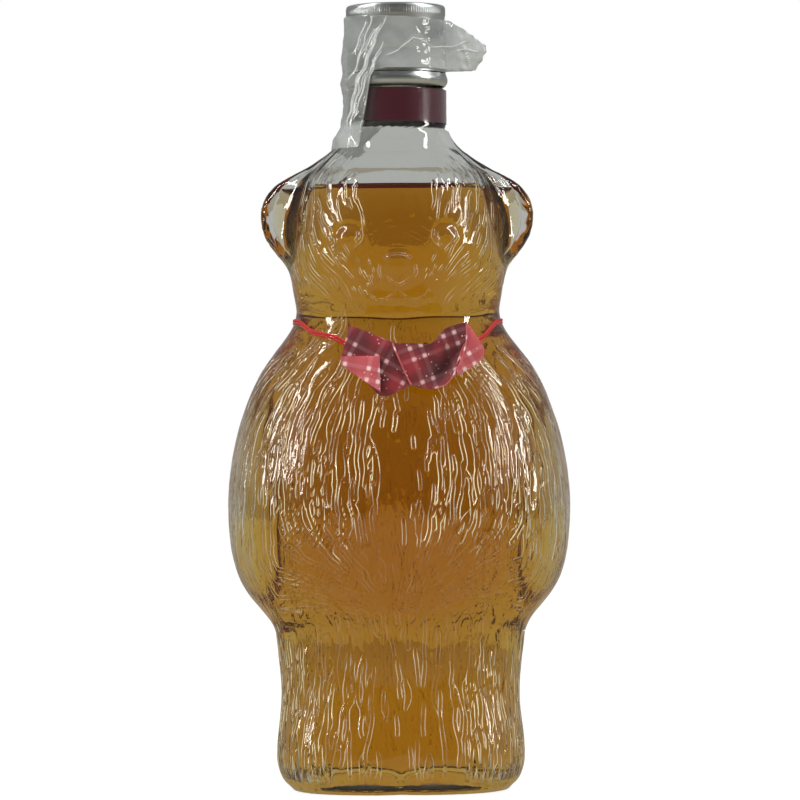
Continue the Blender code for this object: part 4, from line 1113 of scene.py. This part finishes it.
def screw_cap(material):
    """The aluminium cap: knurled top band, plain side, rolled thread, and a skirt above the score line."""
    low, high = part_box("cap_shell")
    radius = high.x
    plain = radius - 0.0002
    knurl_low = high.z - KNURL_HEIGHT
    groove_start = low.z + 0.0046
    groove_end = groove_start + 0.0068
    top = high.z
    levels = [top - d for d in (0.00012, 0.00035, CAP_EDGE_RADIUS, 0.0016, 0.0026)]
    levels += [knurl_low + d for d in (0.0003, -0.0001, -0.0004)]
    levels += list(np.arange(groove_end, low.z + 0.0002, -0.0004))
    wall = add_wall("screw_cap", KNURLS * 4, low.z, top, levels, top_closed=True)
    select_faces(wall, lambda face: face.normal.z > 0.9)
    for inset in (0.03, 0.06, 0.02, 0.25, 0.35):
        bpy.ops.mesh.inset(thickness=inset)
    bpy.ops.object.mode_set(mode="OBJECT")

    def place_of(angle, z, inward):
        if inward < 0.999:
            sunk = 0.00025 * float(smooth_step(0.93, 0.88, inward))
            return at_angle((radius - CAP_EDGE_RADIUS) * inward, angle, top - sunk)
        drop = top - z
        if drop < CAP_EDGE_RADIUS:
            round_off = 1.0 - math.sqrt(max(0.0, 1.0 - (1.0 - drop / CAP_EDGE_RADIUS) ** 2))
            return at_angle(radius - CAP_EDGE_RADIUS * round_off, angle, z)
        reach = radius
        in_knurl = smooth_step(knurl_low, knurl_low + 0.0004, z)
        in_knurl = in_knurl * smooth_step(CAP_EDGE_RADIUS, 0.0015, drop)
        reach -= KNURL_DEPTH * float(in_knurl) * (0.5 - 0.5 * math.cos(KNURLS * angle))
        between = smooth_step(knurl_low + 0.0002, knurl_low - 0.0003, z)
        between = between * smooth_step(groove_start + 0.0052, groove_end, z)
        reach -= float(between) * (radius - plain)
        turn = (angle % (2.0 * math.pi)) / (2.0 * math.pi)
        for lap in (0, 1):
            turned = turn + lap
            if turned < THREAD_TURNS:
                fade = min(1.0, 8.0 * turned, 8.0 * (THREAD_TURNS - turned))
                off = (z - groove_start - THREAD_PITCH * turned) / THREAD_HALF_WIDTH
                reach -= THREAD_DEPTH * fade * math.exp(-off * off)
        return at_angle(reach, angle, z)

    shape_wall(wall, place_of)
    wall.data.materials.append(material)
    give_thickness(wall, CAP_WALL, -1.0)
    return wall


def torn_band(material):
    """The pilfer-proof band: a bulged ring with the broken bridges' stubs along its top."""
    low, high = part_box("pilfer_band")
    shares, reaches = zip(*BAND_OUTLINE)
    levels = [low.z + (high.z - low.z) * k / 14 for k in range(1, 14)]
    wall = add_wall("torn_band", BAND_COLUMNS, low.z, high.z, levels)

    def place_of(angle, z, inward):
        share = (z - low.z) / (high.z - low.z)
        reach = high.x * float(np.interp(share, shares, reaches))
        stub = 0.00022 * max(0.0, math.cos(BAND_STUBS * angle)) ** 12 * float(smooth_step(0.9, 1.0, share))
        return at_angle(reach, angle, z + stub)

    shape_wall(wall, place_of)
    wall.data.materials.append(material)
    give_thickness(wall, BAND_WALL, -1.0)
    return wall


def neck_label(material):
    """The paper band round the neck, open at the back left, and cut a little aslant."""
    low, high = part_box("neck_label")
    levels = [low.z + (high.z - low.z) * k / 6 for k in range(1, 6)]
    wall = add_wall("bare_neck_label", LABEL_COLUMNS, low.z, high.z, levels)

    def in_gap(face):
        off = math.atan2(face.center.y, face.center.x) - LABEL_GAP_AT
        return abs(math.remainder(off, 2.0 * math.pi)) < 0.5 * LABEL_GAP

    select_faces(wall, in_gap)
    bpy.ops.mesh.delete(type="FACE")
    bpy.ops.object.mode_set(mode="OBJECT")

    def place_of(angle, z, inward):
        share = (z - low.z) / (high.z - low.z)
        aslant = 0.0008 * (1.0 - share) * (1.0 - math.cos(angle)) * 0.5
        lift = 0.00008 * math.sin(5.0 * angle + 9.0 * share)
        return at_angle(high.x - 0.00022 + abs(lift), angle, z + aslant)

    shape_wall(wall, place_of)
    wall.data.materials.append(material)
    give_thickness(wall, LABEL_THICKNESS, -1.0)
    return wall


def film_grid(tree, columns, rows):
    """Points of the film's outside between its two edges, read from the node."""
    low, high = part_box("shrink_film")
    grid = np.zeros((rows, columns, 3))
    steps = np.arange(low.z + 0.0002, high.z, 0.0003)
    for column in range(columns):
        even = 2.0 * math.pi * column / columns
        angle = even - 0.5 * math.sin(even - FLAP_ANGLE)
        outward = Vector((math.cos(angle), math.sin(angle), 0.0))
        hits = []
        for z in steps:
            hit = tree.ray_cast(Vector((0.0, 0.0, z)) + 0.1 * outward, -outward)[0]
            if hit is not None and 0.0 < hit.dot(outward) < high.x + 0.001:
                hits.append((z, hit.xy.length))
        heights = np.linspace(hits[0][0], hits[-1][0], rows)
        radii = np.interp(heights, [z for z, _ in hits], [r for _, r in hits])
        grid[:, column] = np.stack([radii * math.cos(angle), radii * math.sin(angle), heights], axis=-1)
    return grid


def near_line(run, off, line):
    """1 on a line given as (run, off) in millimetres, and 0 away from it. It wavers a little."""
    at, reached = np.array(line).T * MM
    wave = 0.00022 * np.sin(run / 0.0011 + 300.0 * reached[0])
    away = (off - np.interp(run, at, reached) - wave) / 0.00018
    ends = smooth_step(at[0] - 0.0005, at[0] + 0.0015, run)
    ends = ends * smooth_step(at[-1] + 0.0005, at[-1] - 0.0015, run)
    return np.exp(-(away**2)) * ends


def shrink_film(material):
    """The torn capsule: it hugs the left side, is creased across the front, and flies off at the right."""
    grid = film_grid(cad_tree("shrink_film"), FILM_COLUMNS, FILM_ROWS)
    for axis in range(3):
        grid[..., axis] = blurred(grid[..., axis], 0.9, 1.2)
    normals = grid_normals(grid)
    x, y, z = grid[..., 0], grid[..., 1], grid[..., 2]
    angle = np.arctan2(y, x)
    on_flap = (x > FLAP_X) & (z > FLAP_Z)
    under_top = np.minimum(z, 0.2436 - 0.70 * (x - 0.0159))
    over_foot = np.maximum(under_top, 0.2257 + 1.9 * np.clip(x - 0.0244, 0.0, None))
    z = np.where(on_flap, over_foot, z)
    grid[..., 2] = z
    raised = np.zeros(x.shape)
    milky = 0.09 + 0.08 * np.sin(260.0 * x + 1.0) * np.sin(330.0 * z + 2.0 * angle)
    wavering = z + 0.0012 * np.sin(700.0 * x)
    milky += 0.14 * smooth_step(0.2385, 0.2355, wavering) * smooth_step(-0.008, 0.002, x)
    milky += 0.20 * smooth_step(0.2115, 0.2085, z)
    for line in FILM_STRANDS:
        on_line = near_line(z, x, [(tall, aside) for aside, tall in line[::-1]]) * (y < 0.004)
        raised = np.maximum(raised, 0.00030 * on_line)
        milky = np.maximum(milky, 0.8 * on_line)
    for line in FILM_FOLDS:
        on_line = near_line(x, z, line) * (y < 0.004)
        raised = np.maximum(raised, 0.00035 * on_line)
        milky = np.maximum(milky, 0.9 * on_line)
    flap = smooth_step(0.0170, 0.0210, np.hypot(x, y)) * smooth_step(0.221, 0.223, z)
    milky = np.maximum(milky, 0.30 * flap)
    folds = np.sin(1500.0 * z + 6.0 * angle + 2.2 * np.sin(900.0 * x)) * np.sin(700.0 * x - 500.0 * z)
    raised += 0.00022 * (1.0 + folds) * (0.4 + 0.9 * flap)
    hem = smooth_step(0.211, 0.204, z)
    raised += 0.0004 * hem * (1.0 + np.sin(9.0 * angle + 400.0 * z))
    levels, swells = np.array(FILM_SWELLS).T * MM
    raised += np.interp(z, levels, swells) * smooth_step(-0.3, -0.9, np.cos(angle))
    grid = grid + normals * raised[..., None]
    bm = bmesh.new()
    rings = [[bm.verts.new(place) for place in loop] for loop in grid]
    for low, high in zip(rings, rings[1:]):
        join_loops(bm, low, high)
    film = mesh_object("torn_shrink_film", bm, material)
    set_attribute(film, "milky", milky.ravel())
    give_thickness(film, FILM_THICKNESS, -1.0)
    return film


def cord_stations():
    """The cord's middle line, read from its node: the middle of each ring of corners.

    The straight stretch in the knot has no rings, so its stations are left out.
    """
    corners = [list(v.co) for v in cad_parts["neck_cord"].data.vertices]
    corners = np.unique(np.round(corners, 7), axis=0)
    station = np.round(np.arctan2(corners[:, 1], corners[:, 0]) * CORD_STATIONS / (2.0 * math.pi))
    station = station.astype(int) % CORD_STATIONS
    rings = [corners[station == k] for k in range(CORD_STATIONS)]
    return [ring.mean(axis=0) for ring in rings if len(ring)]


def elastic_cord(material):
    """The doubled elastic: two covered strands side by side round the neck crease."""
    middle = np.array(cord_stations())
    count = len(middle)
    fine = np.linspace(0.0, count, SAMPLES_PER_STATION * count, endpoint=False)
    closed = np.vstack([middle, middle[:1]])
    route = np.stack([np.interp(fine, range(count + 1), closed[:, axis]) for axis in range(3)], axis=-1)
    for axis in range(3):
        route[:, axis] = blurred(route[None, :, axis], 0.4, 2.5)[0]
    lift = CORD_LIFT * np.exp(-(((route[:, 0] - CORD_LIFT_X) / CORD_LIFT_REACH) ** 2))
    route[:, 2] += lift * (route[:, 1] < 0.0)
    ahead = np.roll(route, -1, axis=0) - np.roll(route, 1, axis=0)
    ahead /= np.linalg.norm(ahead, axis=1, keepdims=True)
    outward = route * (1.0, 1.0, 0.0)
    outward -= (outward * ahead).sum(axis=1, keepdims=True) * ahead
    outward /= np.linalg.norm(outward, axis=1, keepdims=True)
    beside = np.cross(ahead, outward)
    turns = [2.0 * math.pi * n / STRAND_SIDES for n in range(STRAND_SIDES)]
    bm = bmesh.new()
    uv = bm.loops.layers.uv.new("UVMap")
    for shift in (-STRAND_RADIUS, STRAND_RADIUS):
        centre = route + shift * beside
        rings = []
        for k in range(len(route)):
            spots = [
                centre[k] + 0.96 * STRAND_RADIUS * (math.cos(t) * outward[k] + math.sin(t) * beside[k])
                for t in turns
            ]
            rings.append([bm.verts.new(spot) for spot in spots])
        for k, ring in enumerate(rings):
            after = rings[(k + 1) % len(rings)]
            for n in range(STRAND_SIDES):
                m = (n + 1) % STRAND_SIDES
                face = bm.faces.new((ring[n], after[n], after[m], ring[m]))
                marks = ((k, n), (k + 1, n), (k + 1, n + 1), (k, n + 1))
                for loop, (u, v) in zip(face.loops, marks):
                    loop[uv].uv = (u * 0.75, v * 0.26)
    bmesh.ops.recalc_face_normals(bm, faces=bm.faces)
    return mesh_object("doubled_elastic", bm, material)


def spline_row(points, count):
    """Points of a smooth curve through the given ones."""
    points = np.asarray(points, float)
    padded = np.concatenate([2.0 * points[:1] - points[1:2], points, 2.0 * points[-1:] - points[-2:-1]])
    out = []
    for t in np.linspace(0.0, len(points) - 1.0001, count):
        k = int(t)
        u = t - k
        a, b, c, d = padded[k:k + 4]
        out.append(
            0.5 * (2.0 * b + (c - a) * u + (2.0 * a - 5.0 * b + 4.0 * c - d) * u**2
                   + (3.0 * b - a - 3.0 * c + d) * u**3)
        )
    return np.array(out)


def ribbon_sheet(bm, control, columns, rows, slot, uv_turn=0.0, uv_shift=(0.0, 0.0), hollow=(-9.0, -8.0)):
    """Adds one stretch of ribbon through rows of (x, z, forward) points, in millimetres from the knot.

    Where it lies further back than hollow's second value, it gets painted shade, fully so at the first.
    """
    lit = bm.verts.layers.float.get("lit") or bm.verts.layers.float.new("lit")
    lengthwise = [spline_row(line, columns) for line in control]
    grid = np.stack([spline_row([line[k] for line in lengthwise], rows) for k in range(columns)], axis=1)
    uv = bm.loops.layers.uv.verify()
    corners = []
    for line in grid:
        row = [(KNOT.x + x * MM, KNOT.y - f * MM, KNOT.z + z * MM) for x, z, f in line]
        corners.append([bm.verts.new(place) for place in row])
        for corner, (_, _, f) in zip(corners[-1], line):
            corner[lit] = float(smooth_step(hollow[0], hollow[1], f))
    cos, sin = math.cos(uv_turn), math.sin(uv_turn)
    for i in range(rows - 1):
        for j in range(columns - 1):
            face = bm.faces.new(
                (corners[i][j], corners[i + 1][j], corners[i + 1][j + 1], corners[i][j + 1])
            )
            face.material_index = slot
            for loop, (a, b) in zip(face.loops, ((i, j), (i + 1, j), (i + 1, j + 1), (i, j + 1))):
                x, z, _ = grid[a][b]
                loop[uv].uv = (cos * x - sin * z + uv_shift[0], sin * x + cos * z + uv_shift[1])


def bow(front, reverse):
    """The bow: a folded left end, a wrap in the middle, and a scooped right end that shows the reverse."""
    bm = bmesh.new()
    bm.loops.layers.uv.new("UVMap")
    left_wing = [
        [(-20.0, 8.8, 1.6), (-14.0, 6.6, 2.2), (-7.0, 3.4, 2.9), (0.5, 2.4, 2.6)],
        [(-21.4, 3.5, 1.4), (-15.0, 2.2, 2.3), (-8.0, -0.6, 3.4), (-1.0, -1.0, 3.6)],
        [(-22.6, -2.8, 1.2), (-15.6, -4.6, 2.0), (-8.0, -5.6, 3.6), (-1.0, -5.2, 4.0)],
        [(-22.0, -3.8, 1.2), (-15.5, -8.2, 1.8), (-9.6, -13.2, 2.6), (-1.0, -9.8, 3.6)],
    ]
    ribbon_sheet(bm, left_wing, 40, 28, 0, uv_turn=0.5)
    folded_corner = [
        [(-22.6, -0.9, 2.0), (-18.6, -0.8, 3.0), (-14.6, -0.8, 3.9), (-10.7, -0.9, 4.5)],
        [(-22.6, -2.2, 2.0), (-18.6, -3.6, 3.0), (-14.6, -4.8, 4.1), (-10.6, -5.8, 4.6)],
        [(-22.4, -3.4, 1.6), (-18.5, -6.3, 2.5), (-14.5, -9.1, 3.5), (-10.5, -11.9, 4.0)],
    ]
    ribbon_sheet(bm, folded_corner, 30, 20, 1, uv_turn=0.2, uv_shift=(3.0, 1.0))
    wrap = [
        [(-6.9, 3.0, 3.9), (-1.0, 3.0, 4.4), (5.2, 3.0, 4.0), (9.6, 7.4, 4.2), (15.9, 9.4, 3.4)],
        [(-5.3, -1.0, 4.7), (-0.2, -0.8, 4.8), (5.6, 0.2, 3.6), (9.4, 3.2, 3.9), (15.8, 4.2, 3.6)],
        [(-4.4, -3.0, 4.9), (0.4, -3.0, 4.8), (6.0, -0.8, 3.6), (10.2, 0.0, 1.6), (15.2, 1.0, 2.6)],
        [(-3.6, -5.0, 4.9), (1.0, -5.0, 4.7), (6.2, -3.0, 2.4), (10.6, -1.8, 0.9), (14.4, -1.0, 3.6)],
        [(-2.0, -8.4, 4.6), (2.2, -8.0, 4.4), (6.4, -6.6, 1.9), (10.2, -5.0, 1.6), (13.1, -4.6, 4.4)],
        [(-1.2, -9.8, 4.3), (2.8, -10.9, 4.2), (6.6, -11.0, 4.2), (9.8, -9.4, 4.5), (12.0, -6.6, 4.8)],
    ]
    ribbon_sheet(bm, wrap, 48, 44, 0, uv_turn=-0.35, uv_shift=(2.0, 3.0), hollow=(0.6, 3.8))
    # Both edges of the wrap are selvedges: a pale thread runs along them.
    left_edge = [
        (-6.9, 3.0, 4.1),
        (-5.3, -1.0, 4.9),
        (-3.6, -5.0, 5.0),
        (-2.0, -8.4, 4.8),
        (-1.2, -9.8, 4.5),
    ]
    right_edge = [
        (15.9, 9.4, 3.6),
        (15.9, 4.2, 3.8),
        (14.6, -1.0, 3.8),
        (12.9, -4.8, 4.6),
        (9.9, -9.4, 4.7),
        (6.6, -11.0, 4.4),
    ]
    for edge in (left_edge, right_edge):
        beside = [(x + 0.5, z + 0.1, f) for x, z, f in edge]
        ribbon_sheet(bm, [edge, beside], 40, 3, 1)
    turned_back = [
        [(16.3, 9.2, 2.7), (18.4, 6.4, 2.2), (21.6, 1.4, 1.6)],
        [(15.6, 4.0, 3.2), (18.0, 2.0, 2.8), (21.2, -1.4, 1.6)],
        [(14.2, 0.1, 3.7), (16.0, -2.2, 3.0), (18.0, -4.3, 1.6)],
        [(12.6, -4.8, 4.1), (13.0, -6.0, 3.2), (13.2, -7.0, 2.2)],
    ]
    ribbon_sheet(bm, turned_back, 24, 36, 1, uv_turn=-0.5, uv_shift=(1.0, 2.0))
    back_layer = [
        [
            (-19.6, 8.2, 1.0),
            (-12.0, 5.6, 0.8),
            (-4.0, 2.6, 0.4),
            (4.0, 2.6, 0.0),
            (10.5, 6.6, -0.6),
            (15.8, 8.8, 0.6),
        ],
        [
            (-21.4, 1.0, 0.9),
            (-12.0, -1.0, 0.8),
            (-4.0, -1.6, 0.2),
            (4.0, -1.4, -0.4),
            (11.0, 0.0, -0.8),
            (19.0, 1.4, 0.2),
        ],
        [
            (-21.6, -3.4, 0.9),
            (-13.0, -8.6, 0.8),
            (-5.0, -9.4, 0.4),
            (4.0, -8.2, 0.0),
            (10.0, -7.4, -0.2),
            (16.6, -4.4, 0.6),
        ],
    ]
    ribbon_sheet(bm, back_layer, 60, 20, 1)
    obj = mesh_object("plaid_bow", bm, front)
    obj.data.materials.append(reverse)
    give_thickness(obj, RIBBON_THICKNESS, 0.0)
    return obj


def camera():
    """A level camera in front, turned by its small roll."""
    data = bpy.data.cameras.new("camera")
    data.sensor_width = SENSOR_WIDTH
    data.lens = SENSOR_WIDTH * CAMERA_DISTANCE / VIEW_WIDTH
    data.clip_start = 0.05
    data.clip_end = 20.0
    obj = bpy.data.objects.new("camera", data)
    turned = Matrix.Rotation(math.radians(90.0), 4, "X") @ Matrix.Rotation(CAMERA_ROLL, 4, "Z")
    obj.matrix_world = Matrix.Translation((CAMERA_RIGHT, -CAMERA_DISTANCE, CAMERA_HEIGHT)) @ turned
    bpy.context.scene.collection.objects.link(obj)
    bpy.context.scene.camera = obj


def softbox(name, azimuth, watts):
    """A tall light that faces the axis."""
    data = bpy.data.lights.new(name, "AREA")
    data.shape = "RECTANGLE"
    data.size = SOFTBOX_WIDTH
    data.size_y = SOFTBOX_HIGH - SOFTBOX_LOW
    data.energy = watts
    obj = bpy.data.objects.new(name, data)
    middle = 0.5 * (SOFTBOX_LOW + SOFTBOX_HIGH)
    place = Vector((SOFTBOX_DISTANCE * math.sin(azimuth), -SOFTBOX_DISTANCE * math.cos(azimuth), middle))
    obj.location = place
    facing = Vector((-place.x, -place.y, 0.0))
    obj.rotation_euler = facing.to_track_quat("-Z", "Z").to_euler()
    obj.visible_glossy = False
    obj.visible_transmission = False
    bpy.context.scene.collection.objects.link(obj)


def studio():
    """A pale floor and soft light. What lies behind the glass is a grey room, and the camera sees white."""
    world = bpy.data.worlds.new("studio")
    bpy.context.scene.world = world
    world.use_nodes = True
    tree = world.node_tree
    tree.nodes.clear()
    path = add_node(tree, "LightPath")
    place = add_node(tree, "TexCoord")
    parts = add_node(tree, "SeparateXYZ", {0: place.outputs["Generated"]})
    toward = calc(tree, "MULTIPLY", parts.outputs[1], -1.0)
    turned = calc(tree, "ARCTAN2", parts.outputs[0], toward)
    azimuth = calc(tree, "ABSOLUTE", turned)
    off = calc(tree, "SUBTRACT", azimuth, STRIP_AZIMUTH)
    away = calc(tree, "ABSOLUTE", off)
    inside = calc(tree, "LESS_THAN", away, STRIP_HALF_WIDTH)
    raised = calc(tree, "GREATER_THAN", parts.outputs[2], STRIP_FOOT)
    below = calc(tree, "LESS_THAN", parts.outputs[2], STRIP_TOP)
    tall = calc(tree, "MULTIPLY", raised, below)
    strips = calc(tree, "MULTIPLY", inside, tall)
    dim_in_front = ranged(tree, parts.outputs[1], -0.95, -0.30, 0.08, 0.32)
    gloss = calc(tree, "MULTIPLY_ADD", strips, STRIP_STRENGTH, dim_in_front)
    behind = ranged(tree, parts.outputs[1], -0.4, 0.7, 0.44, 0.48)
    reflected = add_node(tree, "Mix", {0: path.outputs["Is Glossy Ray"], 2: 0.5, 3: gloss})
    strength = add_node(
        tree,
        "Mix",
        {0: path.outputs["Is Transmission Ray"], 2: reflected.outputs[0], 3: behind},
    )
    room = add_node(tree, "Background", {"Color": linear("#fffffc"), "Strength": strength.outputs[0]})
    backdrop = add_node(tree, "Background", {"Color": (1.0, 1.0, 1.0, 1.0), "Strength": 1.0})
    seen = add_node(
        tree,
        "MixShader",
        {0: path.outputs["Is Camera Ray"], 1: room.outputs[0], 2: backdrop.outputs[0]},
    )
    add_node(tree, "OutputWorld", {"Surface": seen.outputs[0]})

    bpy.ops.object.select_all(action="DESELECT")
    bpy.ops.mesh.primitive_plane_add(size=6.0, location=(0.0, 0.0, -0.00005))
    floor = bpy.context.object
    floor.name = "floor"
    material, tree = new_material("pale_floor")
    path = add_node(tree, "LightPath")
    # Light that comes through the bottle would reach the floor under it: a little glow stands in for it.
    under = add_node(tree, "Emission", {"Color": linear("#fff2d8"), "Strength": 0.18})
    matt = add_node(tree, "BsdfDiffuse", {"Color": linear("#8f8b80")})
    paint = add_node(tree, "AddShader", {0: matt.outputs[0], 1: under.outputs[0]})
    shadow = add_node(tree, "BsdfDiffuse", {"Color": linear("#8a8a8a")})
    glow = add_node(tree, "Emission", {"Color": (1.0, 1.0, 1.0, 1.0), "Strength": 0.88})
    white = add_node(tree, "AddShader", {0: shadow.outputs[0], 1: glow.outputs[0]})
    mixed = add_node(
        tree,
        "MixShader",
        {0: path.outputs["Is Camera Ray"], 1: paint.outputs[0], 2: white.outputs[0]},
    )
    add_node(tree, "OutputMaterial", {"Surface": mixed.outputs[0]})
    floor.data.materials.append(material)

    softbox("softbox_left", math.radians(-58.0), 10.0)
    softbox("softbox_right", math.radians(58.0), 9.0)


bpy.context.scene.view_settings.view_transform = "Standard"
bpy.context.scene.cycles.max_bounces = 24
bpy.context.scene.cycles.transmission_bounces = 24
bpy.context.scene.cycles.transparent_max_bounces = 16

camera()
studio()

bottle = glass_bottle(moulded_flint_glass(), wetted_flint_glass())
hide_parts("glass_bottle")
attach(bottle, "root")

# Where the whisky lies on the glass, the glass's own inner face bends the light for both.
fill = whisky(amber_whisky("amber_whisky_on_glass", 1.0), amber_whisky("amber_whisky_open", WHISKY_IOR))
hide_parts("whisky")
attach(fill, "root")

aluminium = rolled_aluminium()
cap = screw_cap(aluminium)
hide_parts("cap_shell")
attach(cap, "cap")

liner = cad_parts["cap_liner"]
liner.data.materials.clear()
liner.data.materials.append(white_polyethylene())

band = torn_band(aluminium)
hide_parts("pilfer_band")
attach(band, "band")

label = neck_label(coated_paper())
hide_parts("neck_label")
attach(label, "root")

film = shrink_film(crumpled_film())
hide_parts("shrink_film")
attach(film, "root")

cord = elastic_cord(covered_elastic())
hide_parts("neck_cord")
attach(cord, "root")

tied = bow(
    plaid_ribbon("plaid_ribbon_front", "#821c25", "#3e0c12", "#dcb0b2", 0.62),
    plaid_ribbon("plaid_ribbon_reverse", "#c2575d", "#9e3d46", "#f6d9d9", 0.66),
)
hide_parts("bow_ribbon")
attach(tied, "bow")
